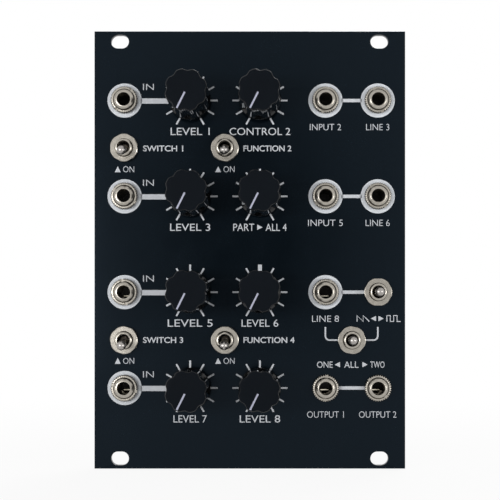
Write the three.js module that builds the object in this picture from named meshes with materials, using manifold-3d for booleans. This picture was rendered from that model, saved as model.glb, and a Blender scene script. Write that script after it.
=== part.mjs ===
// A synthesizer voice module for a 3U modular rack: a black panel 18 units wide with eight knobs,
// six toggle switches and eleven sockets, and behind it a main board, a voice board and a power header.
//
// Everything is modelled in millimetres in the module frame: x to the right, y up the panel, z out of the
// panel's front. Its origin is the middle of the lower rail seat, on the panel's rear face. The exported
// group turns the module frame upright, so that +Z is up and the controls face -Y.

import * as THREE from "three";
import { mergeVertices } from "three/addons/utils/BufferGeometryUtils.js";
import Module from "manifold-3d";

const wasm = await Module();
wasm.setup();

// Fits and fineness
const seatGap = 0.1; // between two faces that bear on each other
const threadGap = 0.15; // between a nut and the thread that it sits on
const runningGap = 0.15; // around a shaft in its bore
const holeGap = 0.25; // around a threaded bushing in the panel
const cutOverrun = 1; // how far a cutting shape runs past the face that it opens
const mergeReach = 0.0001; // corners closer than this are one corner
const fineSides = 20;
const roundSides = 16;
const coarseSides = 12;
const hexagonSides = 6;

// Panel, with two slots in each rail strip
const panelWidth = 91.3;
const panelHeight = 128.5;
const panelThickness = 2;
const railStripHeight = 8;
const slotRow = 3; // from the panel's edge to the slots' middle line
const slotInset = 7.5; // from the panel's left edge to the first slot's middle
const slotPitch = 76.2;
const slotLength = 5.2;
const slotHeight = 4;

// Places of the controls: columns from the panel's left edge, rows about its middle
const firstColumnInset = 8.87;
const columnStep = 19.25; // from sockets to knobs, on both sides of the knobs
const knobPitch = 20.5;
const socketPitch = 15.35;
const rowPitch = 28.15;
const rowCount = 4;
const rowsRise = 1.685; // from the panel's middle up to the rows' middle

// Boards
const boardGap = 10.2; // from the panel's rear face to the main board
const boardThickness = 1.6;
const mainBoardWidth = 88;
const mainBoardHeight = 105;
const voiceBoardWidth = 72;
const voiceBoardHeight = 62;
const voiceBoardDrop = 3; // from the main board's top edge to the voice board's
const boardStacking = 11; // between the two boards
const pinStripThickness = 2.5;
const pinStripShare = 0.7; // of the voice board's height
const pinStripInset = 3;

// Potentiometer: body on the board, collar behind the panel, threaded bushing through it, and its nut
const potWidth = 9.8;
const potHeight = 11.4;
const potDepth = 6.8;
const potDrop = 1; // the body hangs this far below the shaft
const potCollarRadius = 4.4;
const potBushingRadius = 3.5;
const potBushingReach = 3; // past the panel's front face
const potNutAcross = 10; // across the flats
const potNutThickness = 2;
const shaftRadius = 3;
const shaftSinkShare = 0.6; // of the body's depth

// Knob: eight flutes between a plain skirt ring and a chamfered crown, on its shaft
const knobLift = 2.6; // from the panel's front face to the skirt
const knobHeight = 14.2;
const knobRadius = 6.15;
const skirtHeight = 1;
const lobeRadius = 6.05;
const fluteDepth = 0.55;
const fluteCount = 8;
const crownChamfer = 0.4;
const knobRecessRadius = 4.3;
const knobRecessDepth = 2.4;
const pointerAngle = -153.5; // clockwise from 12 o'clock, with the knob turned fully down
// One flute's section: angle as a share of half a flute's pitch, and depth as a share of fluteDepth
const fluteSectionShares = [[-0.56, 0.15], [-0.28, 0.7], [0, 1], [0.28, 0.7], [0.56, 0.15], [1, 0]];

// Socket: housing behind the panel, threaded barrel through it, bore for a 3.5 mm plug
const socketWidth = 9;
const socketHeight = 10.5;
const socketDrop = 0.65; // the housing hangs this far below the bore
const barrelRadius = 2.95;
const barrelReach = 2.7; // past the panel's front face
const barrelChamfer = 0.35;
const plugBoreRadius = 1.9;
const plugBoreFloor = 1.4; // housing left behind the bore
const housingCorner = 1.6;

// Round socket nut with two key slots
const socketNutRadius = 4;
const socketNutThickness = 1.7;
const socketNutChamfer = 0.35;
const keySlotWidth = 0.9;
const keySlotDepth = 0.7;

// Toggle switch: body, threaded bushing, hexagon nut, lever on a ball
const switchWidth = 8;
const switchLength = 12.6;
const switchWall = 1.2;
const switchBushingRadius = 2.5;
const switchBushingReach = 3.5; // past the panel's front face
const switchBoreRadius = 1.65;
const switchFlare = 0.25;
const switchNutAcross = 8; // across the flats
const switchNutCorner = 4.2; // radius that the corners are turned down to
const switchNutThickness = 1.9;
const switchNutChamfer = 0.3;
const leverTilt = 11.5; // from the middle to either end, in degrees
const pivotHeight = 0.2; // above the panel's front face
const leverReach = 8.6; // from the pivot to the tip
const leverTipRadius = 1.35;
const leverNeckRadius = 0.75;
const leverBallRadius = 1.4;
const leverTailLength = 4.4;
const leverTailRadius = 0.6;

// Power header: an open box with a key notch, on the main board's rear
const headerLength = 20.3;
const headerWidth = 8.9;
const headerDepth = 9;
const headerWall = 1.2;
const headerFloor = 2;
const headerNotch = 4.5;
const headerRise = 5; // from the main board's lower edge to the header

// Parts soldered to the boards
const chipWidth = 6.4;
const chipHeight = 3.4;
const smallChipLength = 9.6;
const largeChipLength = 19.3;
const canRadius = 3.1;
const canHeight = 7;
const filmLength = 7.2;
const filmWidth = 2.6;
const filmHeight = 6.5;
const trimmerSide = 6.6;
const trimmerHeight = 4.8;
// Places as shares of the voice board's width and height, from its middle
const largeChipShares = [[-0.2, 0.33], [0.18, 0.33], [-0.2, -0.04]];
const smallChipShares = [[0.11, -0.04], [0.31, -0.04], [0.11, -0.36]];
const canShares = [[-0.36, 0.13], [-0.24, 0.13], [0.36, 0.15], [-0.34, -0.38], [-0.22, -0.38]];
const filmShares = [[-0.08, 0.16], [0.06, 0.16], [0.2, 0.16], [-0.05, -0.22], [-0.25, -0.22]];
const trimmerShares = [[0.31, -0.36], [0.31, -0.2], [0.11, -0.2]];
// Places as shares of the main board's width and height, from its middle
const supplyCanShares = [[-0.2, -0.36], [-0.3, -0.36]];
const supplyChipShares = [[0.27, -0.36]];

// Materials
const finish = (color, roughness, metalness) =>
  new THREE.MeshStandardMaterial({ color, roughness, metalness });
const panelBlack = finish(0x1b2228, 0.55, 0.2);
const knobBlack = finish(0x17191d, 0.6, 0);
const nickel = finish(0xc9c2b8, 0.28, 1);
const housingBlack = finish(0x141416, 0.5, 0);
const switchBlue = finish(0x23395c, 0.5, 0);
const potGrey = finish(0x8a8c90, 0.4, 0.8);
const boardGreen = finish(0x14402a, 0.45, 0);

// Values that follow from the sizes above
const panelBottom = -slotRow;
const panelTop = panelBottom + panelHeight;
const panelMiddle = panelBottom + panelHeight / 2;
const mainBoardFront = -boardGap;
const mainBoardRear = mainBoardFront - boardThickness;
const voiceBoardFront = mainBoardRear - boardStacking;
const voiceBoardRear = voiceBoardFront - boardThickness;
const voiceBoardMiddle = panelMiddle + (mainBoardHeight - voiceBoardHeight) / 2 - voiceBoardDrop;
const bodyRear = mainBoardFront + seatGap;
const potFront = bodyRear + potDepth;
const shaftEnd = potFront - shaftSinkShare * potDepth;
const socketColumn = firstColumnInset - panelWidth / 2;
const knobColumns = [socketColumn + columnStep, socketColumn + columnStep + knobPitch];
const outerColumns = [knobColumns[1] + columnStep, knobColumns[1] + columnStep + socketPitch];
const firstRowInset = panelHeight / 2 - rowsRise - (rowCount - 1) / 2 * rowPitch;
const rowAt = (row) => panelTop - firstRowInset - row * rowPitch;
const middleOf = (pair) => (pair[0] + pair[1]) / 2;
const rows = Array.from({ length: rowCount }, (_, row) => row);

// Places of the controls, all in reading order
const knobPlaces = rows.flatMap((row) => knobColumns.map((column) => [column, rowAt(row)]));
// The third row's last place holds a switch
const socketPlaces = rows
  .flatMap((row) => [socketColumn, ...outerColumns].map((column) => [column, rowAt(row)]))
  .filter(([x, y]) => !(x === outerColumns[1] && y === rowAt(2)));
// Four switches throw up and down and rest down. The other two throw sideways and rest in the middle.
const switchPlaces = [
  { spot: [socketColumn, rowAt(0.5)], sideways: false },
  { spot: [middleOf(knobColumns), rowAt(0.5)], sideways: false },
  { spot: [outerColumns[1], rowAt(2)], sideways: true },
  { spot: [socketColumn, rowAt(2.5)], sideways: false },
  { spot: [middleOf(knobColumns), rowAt(2.5)], sideways: false },
  { spot: [middleOf(outerColumns), rowAt(2.5)], sideways: true },
];

// A closed three.js geometry as a solid, with its shared corners merged
function solidOf(geometry) {
  const loose = geometry.index ? geometry.toNonIndexed() : geometry.clone();
  loose.deleteAttribute("normal");
  loose.deleteAttribute("uv");
  const merged = mergeVertices(loose, mergeReach);
  const triVerts = new Uint32Array(merged.index.array);
  return new wasm.Manifold(new wasm.Mesh({
    numProp: 3,
    vertProperties: merged.attributes.position.array,
    triVerts,
  }));
}

// A box between two depths, with its middle at x, y
function block(width, height, low, high, x = 0, y = 0) {
  const geometry = new THREE.BoxGeometry(width, height, high - low);
  return solidOf(geometry.translate(x, y, (low + high) / 2));
}

// A round bar between two depths, with its axis at x, y
function bar(radius, low, high, sides = roundSides, x = 0, y = 0) {
  const geometry = new THREE.CylinderGeometry(radius, radius, high - low, sides);
  return solidOf(geometry.rotateX(Math.PI / 2).translate(x, y, (low + high) / 2));
}

// A profile of [radius, depth] pairs, from the lowest depth up, turned about the z axis
function turned(profile, sides = roundSides) {
  const points = profile.map(([radius, depth]) => new THREE.Vector2(radius, depth));
  return solidOf(new THREE.LatheGeometry(points, sides).rotateX(Math.PI / 2));
}

// An outline of [x, y] pairs, given depth from low to high
function prism(outline, low, high) {
  const shape = new THREE.Shape(outline.map(([x, y]) => new THREE.Vector2(x, y)));
  const geometry = new THREE.ExtrudeGeometry(shape, { depth: high - low, bevelEnabled: false });
  return solidOf(geometry.translate(0, 0, low));
}

function meshOf(name, solid, material) {
  const { numProp, vertProperties, triVerts } = solid.getMesh();
  const geometry = new THREE.BufferGeometry();
  geometry.setAttribute("position", new THREE.BufferAttribute(vertProperties, numProp));
  geometry.setIndex(new THREE.BufferAttribute(triVerts, 1));
  geometry.computeVertexNormals();
  const mesh = new THREE.Mesh(geometry, material);
  mesh.name = name;
  return mesh;
}

// A slot with round ends, cut through the panel
function railSlot(x, y) {
  const straight = slotLength - slotHeight;
  const low = -cutOverrun;
  const high = panelThickness + cutOverrun;
  const end = (side) => bar(slotHeight / 2, low, high, roundSides, x + side * straight / 2, y);
  return block(straight, slotHeight, low, high, x, y).add(end(-1)).add(end(1));
}

// The control field between two rail strips, whose rear faces are seats for the rails
function frontPanel() {
  const fieldHeight = panelHeight - 2 * railStripHeight;
  let panel = block(panelWidth, fieldHeight, 0, panelThickness, 0, panelMiddle);
  const firstSlot = slotInset - panelWidth / 2;
  for (const [stripMiddle, row] of [
    [panelBottom + railStripHeight / 2, panelBottom + slotRow],
    [panelTop - railStripHeight / 2, panelTop - slotRow],
  ]) {
    const strip = block(panelWidth, railStripHeight, 0, panelThickness, 0, stripMiddle)
      .subtract(railSlot(firstSlot, row))
      .subtract(railSlot(firstSlot + slotPitch, row));
    panel = panel.add(strip);
  }
  const drill = (radius, [x, y]) => {
    const hole = bar(radius + holeGap, -cutOverrun, panelThickness + cutOverrun, coarseSides, x, y);
    panel = panel.subtract(hole);
  };
  for (const spot of knobPlaces) drill(potBushingRadius, spot);
  for (const spot of socketPlaces) drill(barrelRadius, spot);
  for (const { spot } of switchPlaces) drill(switchBushingRadius, spot);
  return panel;
}

// A board with parts added at shares of its width and height from its middle
function populated(board, shares, width, height, middle, make) {
  return shares.reduce((whole, [across, up]) => whole.add(make(across * width, middle + up * height)), board);
}

function mainBoard() {
  let board = block(mainBoardWidth, mainBoardHeight, mainBoardRear, mainBoardFront, 0, panelMiddle);
  const stand = (shares, make) => {
    board = populated(board, shares, mainBoardWidth, mainBoardHeight, panelMiddle, make);
  };
  stand(supplyCanShares, (x, y) =>
    bar(canRadius, mainBoardRear - canHeight, mainBoardFront, coarseSides, x, y));
  stand(supplyChipShares, (x, y) =>
    block(smallChipLength, chipWidth, mainBoardRear - chipHeight, mainBoardFront, x, y));
  return board;
}

// The voice board carries its chips, cans, film capacitors and trimmers, and the two pin strips that
// plug it into the main board
function voiceBoard() {
  let board = block(voiceBoardWidth, voiceBoardHeight, voiceBoardRear, voiceBoardFront, 0, voiceBoardMiddle);
  const stand = (shares, make) => {
    board = populated(board, shares, voiceBoardWidth, voiceBoardHeight, voiceBoardMiddle, make);
  };
  const box = (width, height, depth) => (x, y) =>
    block(width, height, voiceBoardRear - depth, voiceBoardFront, x, y);
  stand(largeChipShares, box(largeChipLength, chipWidth, chipHeight));
  stand(smallChipShares, box(smallChipLength, chipWidth, chipHeight));
  stand(filmShares, box(filmLength, filmWidth, filmHeight));
  stand(trimmerShares, box(trimmerSide, trimmerSide, trimmerHeight));
  stand(canShares, (x, y) =>
    bar(canRadius, voiceBoardRear - canHeight, voiceBoardFront, coarseSides, x, y));
  for (const side of [-1, 1]) {
    const x = side * (voiceBoardWidth / 2 - pinStripInset);
    board = board.add(block(pinStripThickness, pinStripShare * voiceBoardHeight,
      voiceBoardRear, mainBoardRear - seatGap, x, voiceBoardMiddle));
  }
  return board;
}

function powerHeader() {
  const high = mainBoardRear - seatGap;
  const low = high - headerDepth;
  const y = panelMiddle - mainBoardHeight / 2 + headerRise + headerWidth / 2;
  const mouth = low - cutOverrun;
  const floor = high - headerFloor;
  return block(headerLength, headerWidth, low, high, 0, y)
    .subtract(block(headerLength - 2 * headerWall, headerWidth - 2 * headerWall, mouth, floor, 0, y))
    .subtract(block(headerNotch, headerWidth, mouth, floor, 0, y + headerWidth / 2));
}

// A hexagon prism of the given width across its flats
function hexagon(across, low, high) {
  return bar(across / Math.sqrt(3), low, high, hexagonSides);
}

// The potentiometer's fixed half: body, collar, hollow threaded bushing and the nut tightened on it
function potentiometer() {
  const bushingTip = panelThickness + potBushingReach;
  const nutRear = panelThickness + seatGap;
  return block(potWidth, potHeight, bodyRear, potFront, 0, -potDrop)
    .add(bar(potCollarRadius, bodyRear, -seatGap, coarseSides))
    .add(bar(potBushingRadius, bodyRear, bushingTip, coarseSides))
    .add(hexagon(potNutAcross, nutRear, nutRear + potNutThickness))
    .subtract(bar(shaftRadius + runningGap, shaftEnd - seatGap, bushingTip + cutOverrun, coarseSides));
}

// A closed ring of corners at one depth, which follows the flutes or stays round
function knobRing(depth, radius, flute) {
  const corners = [];
  const pitch = (2 * Math.PI) / fluteCount;
  for (let lobe = 0; lobe < fluteCount; lobe += 1) {
    for (const [turn, sunk] of fluteSectionShares) {
      const angle = (lobe + 0.5 + turn / 2) * pitch;
      const reach = radius - flute * sunk;
      corners.push([reach * Math.sin(angle), reach * Math.cos(angle), depth]);
    }
  }
  return corners;
}

// Rings of equal count joined into a closed body, with a flat cap at each end
function lofted(rings) {
  const count = rings[0].length;
  const middle = (ring) => [0, 0, ring[0][2]];
  const corners = [middle(rings[0]), ...rings.flat(), middle(rings[rings.length - 1])];
  const last = corners.length - 1;
  const faces = [];
  const at = (ring, k) => 1 + ring * count + (k % count);
  for (let k = 0; k < count; k += 1) {
    faces.push(0, at(0, k), at(0, k + 1));
    for (let ring = 0; ring < rings.length - 1; ring += 1) {
      faces.push(at(ring, k), at(ring + 1, k), at(ring, k + 1));
      faces.push(at(ring, k + 1), at(ring + 1, k), at(ring + 1, k + 1));
    }
    faces.push(last, at(rings.length - 1, k + 1), at(rings.length - 1, k));
  }
  const geometry = new THREE.BufferGeometry();
  geometry.setAttribute("position", new THREE.Float32BufferAttribute(corners.flat(), 3));
  geometry.setIndex(faces);
  return solidOf(geometry);
}

// The knob and the shaft that it is pressed on, which turn together
function knobOnShaft() {
  const skirt = panelThickness + knobLift;
  const crown = skirt + knobHeight;
  const recess = skirt + knobRecessDepth;
  return lofted([
    knobRing(skirt + skirtHeight, lobeRadius, fluteDepth),
    knobRing(crown - crownChamfer, lobeRadius, fluteDepth),
    knobRing(crown, lobeRadius - crownChamfer, fluteDepth),
  ])
    .add(bar(knobRadius, skirt, skirt + skirtHeight, fineSides))
    .subtract(bar(knobRecessRadius, skirt - cutOverrun, recess, coarseSides))
    .add(bar(shaftRadius, shaftEnd, recess + seatGap, coarseSides));
}

// The socket: housing with two cut corners, threaded barrel and plug bore
function socket() {
  const tip = panelThickness + barrelReach;
  const halfWidth = socketWidth / 2;
  const top = socketHeight / 2 - socketDrop;
  const bottom = top - socketHeight;
  const outline = [
    [-halfWidth, bottom + housingCorner],
    [housingCorner - halfWidth, bottom],
    [halfWidth - housingCorner, bottom],
    [halfWidth, bottom + housingCorner],
    [halfWidth, top],
    [-halfWidth, top],
  ];
  const barrel = turned([
    [0, bodyRear + plugBoreFloor],
    [barrelRadius, bodyRear + plugBoreFloor],
    [barrelRadius, tip - barrelChamfer],
    [barrelRadius - barrelChamfer, tip],
    [0, tip],
  ]);
  return prism(outline, bodyRear, -seatGap)
    .add(barrel)
    .subtract(bar(plugBoreRadius, bodyRear + plugBoreFloor, tip + cutOverrun, coarseSides));
}

// The round nut on a socket's barrel, with two key slots across its front
function socketNut() {
  const rear = panelThickness + seatGap;
  const front = rear + socketNutThickness;
  const slotFloor = front - keySlotDepth;
  return turned([
    [0, rear],
    [socketNutRadius, rear],
    [socketNutRadius, front - socketNutChamfer],
    [socketNutRadius - socketNutChamfer, front],
    [0, front],
  ], fineSides)
    .subtract(bar(barrelRadius + threadGap, rear - cutOverrun, front + cutOverrun))
    .subtract(block(keySlotWidth, 2 * socketNutRadius + cutOverrun, slotFloor, front + cutOverrun));
}

// The switch's fixed half: body with a hollow for the lever's tail, and a bushing with a flared mouth
function switchBody() {
  const tip = panelThickness + switchBushingReach;
  const hollowFront = -seatGap - switchWall;
  const hollowRear = panelThickness + pivotHeight - leverTailLength - switchWall;
  const hollowWidth = switchWidth - 2 * switchWall;
  const hollowLength = switchLength - 2 * switchWall;
  const bore = turned([
    [0, hollowFront - cutOverrun],
    [switchBoreRadius, hollowFront - cutOverrun],
    [switchBoreRadius, tip - 2 * switchFlare],
    [switchBoreRadius + switchFlare, tip],
    [switchBoreRadius + switchFlare, tip + cutOverrun],
    [0, tip + cutOverrun],
  ]);
  return block(switchWidth, switchLength, bodyRear, -seatGap)
    .add(bar(switchBushingRadius, bodyRear, tip))
    .subtract(block(hollowWidth, hollowLength, hollowRear, hollowFront))
    .subtract(bore);
}

// A hexagon nut whose corners are turned down and chamfered
function switchNut() {
  const rear = panelThickness + seatGap;
  const front = rear + switchNutThickness;
  return turned([
    [0, rear],
    [switchNutCorner, rear],
    [switchNutCorner, front - switchNutChamfer],
    [switchNutCorner - switchNutChamfer, front],
    [0, front],
  ], fineSides)
    .intersect(hexagon(switchNutAcross, rear - cutOverrun, front + cutOverrun))
    .subtract(bar(switchBushingRadius + threadGap, rear - cutOverrun, front + cutOverrun));
}

// The lever, with its pivot at the origin and its tip towards +z
function lever() {
  const tipMiddle = leverReach - leverTipRadius;
  const half = Math.SQRT1_2;
  return turned([
    [0, -leverTailLength],
    [leverTailRadius, -leverTailLength],
    [leverTailRadius, -leverBallRadius],
    [leverBallRadius * half, -leverBallRadius * half],
    [leverBallRadius, 0],
    [leverBallRadius * half, leverBallRadius * half],
    [leverNeckRadius, leverBallRadius],
    [leverTipRadius, tipMiddle],
    [leverTipRadius * half, tipMiddle + leverTipRadius * half],
    [0, leverReach],
  ], coarseSides);
}

const module = new THREE.Group();
module.rotation.x = Math.PI / 2;

function place(mesh, [x, y] = [0, 0], z = 0) {
  mesh.position.set(x, y, z);
  module.add(mesh);
  return mesh;
}

place(meshOf("front_panel", frontPanel(), panelBlack));
place(meshOf("main_board", mainBoard(), boardGreen));
place(meshOf("voice_board", voiceBoard(), boardGreen));
place(meshOf("power_header", powerHeader(), housingBlack));

const potSolid = potentiometer();
const knobSolid = knobOnShaft();
knobPlaces.forEach((spot, index) => {
  place(meshOf(`potentiometer_${index + 1}`, potSolid, potGrey), spot);
  const knob = place(meshOf(`knob_${index + 1}`, knobSolid, knobBlack), spot);
  knob.rotation.z = -THREE.MathUtils.degToRad(pointerAngle);
});

const socketSolid = socket();
const socketNutSolid = socketNut();
socketPlaces.forEach((spot, index) => {
  place(meshOf(`socket_${index + 1}`, socketSolid, housingBlack), spot);
  place(meshOf(`socket_nut_${index + 1}`, socketNutSolid, nickel), spot);
});

const switchSolid = switchBody();
const switchNutSolid = switchNut();
const leverSolid = lever();
switchPlaces.forEach(({ spot, sideways }, index) => {
  const body = place(meshOf(`switch_${index + 1}`, switchSolid, switchBlue), spot);
  body.rotation.z = sideways ? Math.PI / 2 : 0;
  place(meshOf(`switch_nut_${index + 1}`, switchNutSolid, nickel), spot);
  const arm = place(meshOf(`lever_${index + 1}`, leverSolid, nickel), spot, panelThickness + pivotHeight);
  arm.rotation.x = sideways ? 0 : THREE.MathUtils.degToRad(leverTilt);
});

export default module;
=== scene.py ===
# %% [markdown]
# # A synthesizer voice module, dressed for its picture
#
# The module is a flat black panel for a 3U rack. Eight knobs, six toggle switches and eleven sockets
# stand on its front, and two circuit boards hang behind it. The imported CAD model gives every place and
# every moving body. This lesson makes the pieces that are seen, one after the other, around that frame.

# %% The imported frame
import math

import bmesh
import bpy
from mathutils import Matrix, Vector


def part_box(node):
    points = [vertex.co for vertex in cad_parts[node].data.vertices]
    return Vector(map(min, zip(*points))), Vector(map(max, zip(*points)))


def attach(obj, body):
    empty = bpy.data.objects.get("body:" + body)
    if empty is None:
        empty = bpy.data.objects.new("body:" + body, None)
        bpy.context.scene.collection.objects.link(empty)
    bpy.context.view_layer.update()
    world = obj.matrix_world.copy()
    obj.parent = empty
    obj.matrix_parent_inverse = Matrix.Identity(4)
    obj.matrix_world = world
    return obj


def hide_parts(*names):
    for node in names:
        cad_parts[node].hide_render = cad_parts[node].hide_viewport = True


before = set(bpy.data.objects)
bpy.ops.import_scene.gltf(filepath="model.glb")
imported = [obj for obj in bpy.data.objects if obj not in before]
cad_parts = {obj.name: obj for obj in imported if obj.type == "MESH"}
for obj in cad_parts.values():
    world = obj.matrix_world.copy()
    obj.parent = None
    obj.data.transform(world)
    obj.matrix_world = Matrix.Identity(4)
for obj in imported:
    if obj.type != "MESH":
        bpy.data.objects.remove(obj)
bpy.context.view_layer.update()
MM = 0.001

# %% [markdown]
# ## A frame for each control
#
# Every control is round, and is bought by its diameter and its height above the panel. So each one is
# modelled in millimetres in a frame of its own: x to the right, y up the panel and z out of its front,
# with z = 0 on the panel's rear face. A matrix then stands it on the panel. The places come from the CAD
# nodes, so nothing is fitted by eye.

# %% Places from the nodes


def middle(node):
    """The middle of a CAD node, in millimetres."""
    low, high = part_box(node)
    return (low + high) / 2 / MM


def standing(x, up, turn=0.0):
    """From a control's own frame to the world, turned anticlockwise by some degrees seen from the front."""
    upright = Matrix(((1, 0, 0, x), (0, 0, -1, 0), (0, 1, 0, up), (0, 0, 0, 1)))
    return Matrix.Scale(MM, 4) @ upright @ Matrix.Rotation(math.radians(turn), 4, "Z")


panel_low, panel_high = (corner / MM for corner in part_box("front_panel"))
panel_front = -panel_low.y
panel_middle = (panel_low + panel_high) / 2
knob_spots = [middle(f"knob_{i}") for i in range(1, 9)]
socket_spots = [middle(f"socket_nut_{i}") for i in range(1, 12)]
switch_spots = [middle(f"switch_nut_{i}") for i in range(1, 7)]
print("panel", [round(v, 2) for v in panel_high - panel_low], "mm, first knob at", knob_spots[0])

# %% [markdown]
# ## The camera
#
# The picture was taken square on, a little right of the middle and a little low, with the lens shifted.
# The knobs show this: each one leans away from the point that the camera faces. The camera stands where
# those leanings meet, and its shift brings the panel back into the picture.

# %% Camera
camera_right, camera_back, camera_height = 7.4, 346.0, 42.15
camera_lens, camera_shift_x, camera_shift_y = 84.3, -0.05, 0.13

camera_data = bpy.data.cameras.new("camera")
camera_data.lens = camera_lens
camera_data.sensor_width = 36
camera_data.shift_x = camera_shift_x
camera_data.shift_y = camera_shift_y
camera_data.clip_start = 0.01
camera = bpy.data.objects.new("camera", camera_data)
camera.location = Vector((camera_right, -camera_back, camera_height)) * MM
camera.rotation_euler = (math.pi / 2, 0, 0)
bpy.context.scene.collection.objects.link(camera)
bpy.context.scene.camera = camera
bpy.context.scene.view_settings.view_transform = "Standard"
print("camera", round(camera_back - panel_front), "mm in front of the panel")

# %% [markdown]
# ## Nodes, written as sums
#
# Materials and Geometry Nodes trees are both made of nodes and links. One short helper makes a node,
# sets what it is told and links what is a socket, so that a tree reads like the sum that it works out.

# %% Node helpers


def add(tree, kind, inputs=None, **settings):
    """A new node. An input is a value, or a socket to link."""
    made = tree.nodes.new(kind)
    for key, value in settings.items():
        setattr(made, key, value)
    for key, value in (inputs or {}).items():
        if isinstance(value, bpy.types.NodeSocket):
            tree.links.new(value, made.inputs[key])
        else:
            made.inputs[key].default_value = value
    return made


def maths(tree, operation, *values):
    """The result of one sum on numbers or sockets."""
    return add(tree, "ShaderNodeMath", dict(enumerate(values)), operation=operation).outputs[0]


def ramp(tree, value, low, high, to_low=0.0, to_high=1.0):
    """A value brought from one range to another, and held inside it."""
    inputs = {"Value": value, "From Min": low, "From Max": high, "To Min": to_low, "To Max": to_high}
    return add(tree, "ShaderNodeMapRange", inputs).outputs[0]


def wave(tree, steps):
    """A straight-sided wave: 1 at every whole number of steps and 0 half way between."""
    phase = maths(tree, "FRACT", steps)
    return maths(tree, "ABSOLUTE", maths(tree, "SUBTRACT", maths(tree, "MULTIPLY", phase, 2.0), 1.0))


def round_wave(tree, share, count):
    """The same wave, so many times round an axis. Share is the angle as a share of a turn."""
    return wave(tree, maths(tree, "ADD", maths(tree, "MULTIPLY", share, count), count))


# %% [markdown]
# ## Finishes
#
# No real surface is one flat colour. Powder coat has a grain, moulded plastic has a fine bloom, plated
# brass keeps the lines of the lathe. Each finish here starts from a colour and a gloss, and adds a grain
# in colour, roughness and height from noise on object coordinates, so that it sits still on its piece.

# %% The base of every finish


def linear(red, green, blue):
    """A colour of 0 to 255, as it is seen on a screen, as the shader wants it."""
    shares = [value / 255 for value in (red, green, blue)]
    bright = [s / 12.92 if s <= 0.04045 else ((s + 0.055) / 1.055) ** 2.4 for s in shares]
    return (*bright, 1.0)


def new_finish(name, metallic):
    """A new material with its node tree and its shader."""
    material = bpy.data.materials.new(name)
    material.use_nodes = True
    tree = material.node_tree
    shader = tree.nodes["Principled BSDF"]
    shader.inputs["Metallic"].default_value = metallic
    return material, tree, shader


def mixed(tree, share, first, second):
    """One colour where share is 0, the other where it is 1."""
    return add(tree, "ShaderNodeMix", {0: share, 6: first, 7: second}, data_type="RGBA").outputs[2]


def shaded(tree, colour, shade, share):
    """A colour that runs from a little darker to a little lighter."""
    dark = [channel * (1 - shade) for channel in colour[:3]] + [1.0]
    light = [min(1.0, channel * (1 + shade)) for channel in colour[:3]] + [1.0]
    return mixed(tree, share, dark, light)


def finish(name, colour, roughness, metallic=0.0, specular=0.5, tint=(1, 1, 1, 1),
           grain=0.3, shade=0.15, bump=0.05, rough_shift=0.1):
    """A finish whose grain, in millimetres, moves its colour, roughness and height a little."""
    material, tree, shader = new_finish(name, metallic)
    shader.inputs["Specular IOR Level"].default_value = specular
    shader.inputs["Specular Tint"].default_value = tint
    place = add(tree, "ShaderNodeTexCoord").outputs["Object"]
    fine = add(tree, "ShaderNodeTexNoise", {"Vector": place, "Scale": 1 / (grain * MM), "Detail": 4.0})
    broad = add(tree, "ShaderNodeTexNoise", {"Vector": place, "Scale": 1 / (grain * 40 * MM), "Detail": 3.0})
    blend = ramp(tree, maths(tree, "ADD", fine.outputs[0], broad.outputs[0]), 0.7, 1.3)
    tree.links.new(shaded(tree, colour, shade, blend), shader.inputs["Base Color"])
    sharpest = max(0.02, roughness - rough_shift)
    gloss = ramp(tree, broad.outputs[0], 0.3, 0.7, sharpest, roughness + rough_shift)
    tree.links.new(gloss, shader.inputs["Roughness"])
    raised = add(tree, "ShaderNodeBump", {"Height": fine.outputs[0], "Distance": bump * MM, "Strength": 0.6})
    tree.links.new(raised.outputs[0], shader.inputs["Normal"])
    return material


satin_blue = (0.56, 0.76, 1.0, 1.0)
panel_coat = finish("panel_coat", linear(5, 11, 16), 0.17, specular=0.17, tint=satin_blue,
                    grain=0.35, shade=0.1, bump=0.001, rough_shift=0.02)
ink = finish("ink", linear(204, 207, 212), 0.55, specular=0.2, grain=0.5, shade=0.05, bump=0.01)
# The discs are the same ink as the rest. This lighter copy is painted light that makes up for the nuts' shade
# on them.
disc_ink_painted_lighter = finish("disc_ink_painted_lighter", linear(219, 223, 228), 0.55, specular=0.2, grain=0.5, shade=0.05, bump=0.01)
knob_crown = finish("knob_crown", linear(16, 20, 25), 0.55, specular=0.03, grain=0.25, shade=0.1, bump=0.01)
knob_wall = finish("knob_wall", linear(8, 9, 11), 0.08, specular=0.45,
                   grain=0.6, shade=0.1, bump=0.001, rough_shift=0.03)
print("finishes:", [m.name for m in (panel_coat, ink, disc_ink_painted_lighter, knob_crown, knob_wall)])

# %% [markdown]
# ## Meshes from profiles
#
# Most of these pieces are turned, moulded or punched. A turned piece is a profile swept about its axis,
# a moulded block is a box with its edges rounded, and a punched one is an outline given a thickness.
# These helpers make the three as closed shells whose faces point outwards.

# %% Mesh helpers


def ringed(rings, closed=False):
    """Rings of points joined into a shell. A ring of one point is a pole, and closed makes a hollow ring."""
    shape = bmesh.new()
    loops = [[shape.verts.new(point) for point in ring] for ring in rings]
    count = max(len(loop) for loop in loops)
    pairs = list(zip(loops, loops[1:])) + ([(loops[-1], loops[0])] if closed else [])
    for low, high in pairs:
        for k in range(count):
            after = k + 1
            corners = [low[k % len(low)], low[after % len(low)], high[after % len(high)], high[k % len(high)]]
            shape.faces.new(list(dict.fromkeys(corners)))
    bmesh.ops.recalc_face_normals(shape, faces=shape.faces)
    return shape


def circle(radius, height, sides):
    """A ring of points that starts at 12 o'clock."""
    if radius == 0:
        return [(0, 0, height)]
    angles = [2 * math.pi * k / sides for k in range(sides)]
    return [(radius * math.sin(a), radius * math.cos(a), height) for a in angles]


def turned(profile, sides=48, closed=False):
    """A profile of (radius, height) pairs turned about z."""
    return ringed([circle(radius, height, sides) for radius, height in profile], closed)


def rod(radius, low, high, sides=32):
    """A plain cylinder about z. It also cuts round holes."""
    return turned([(0, low), (radius, low), (radius, high), (0, high)], sides)


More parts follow.
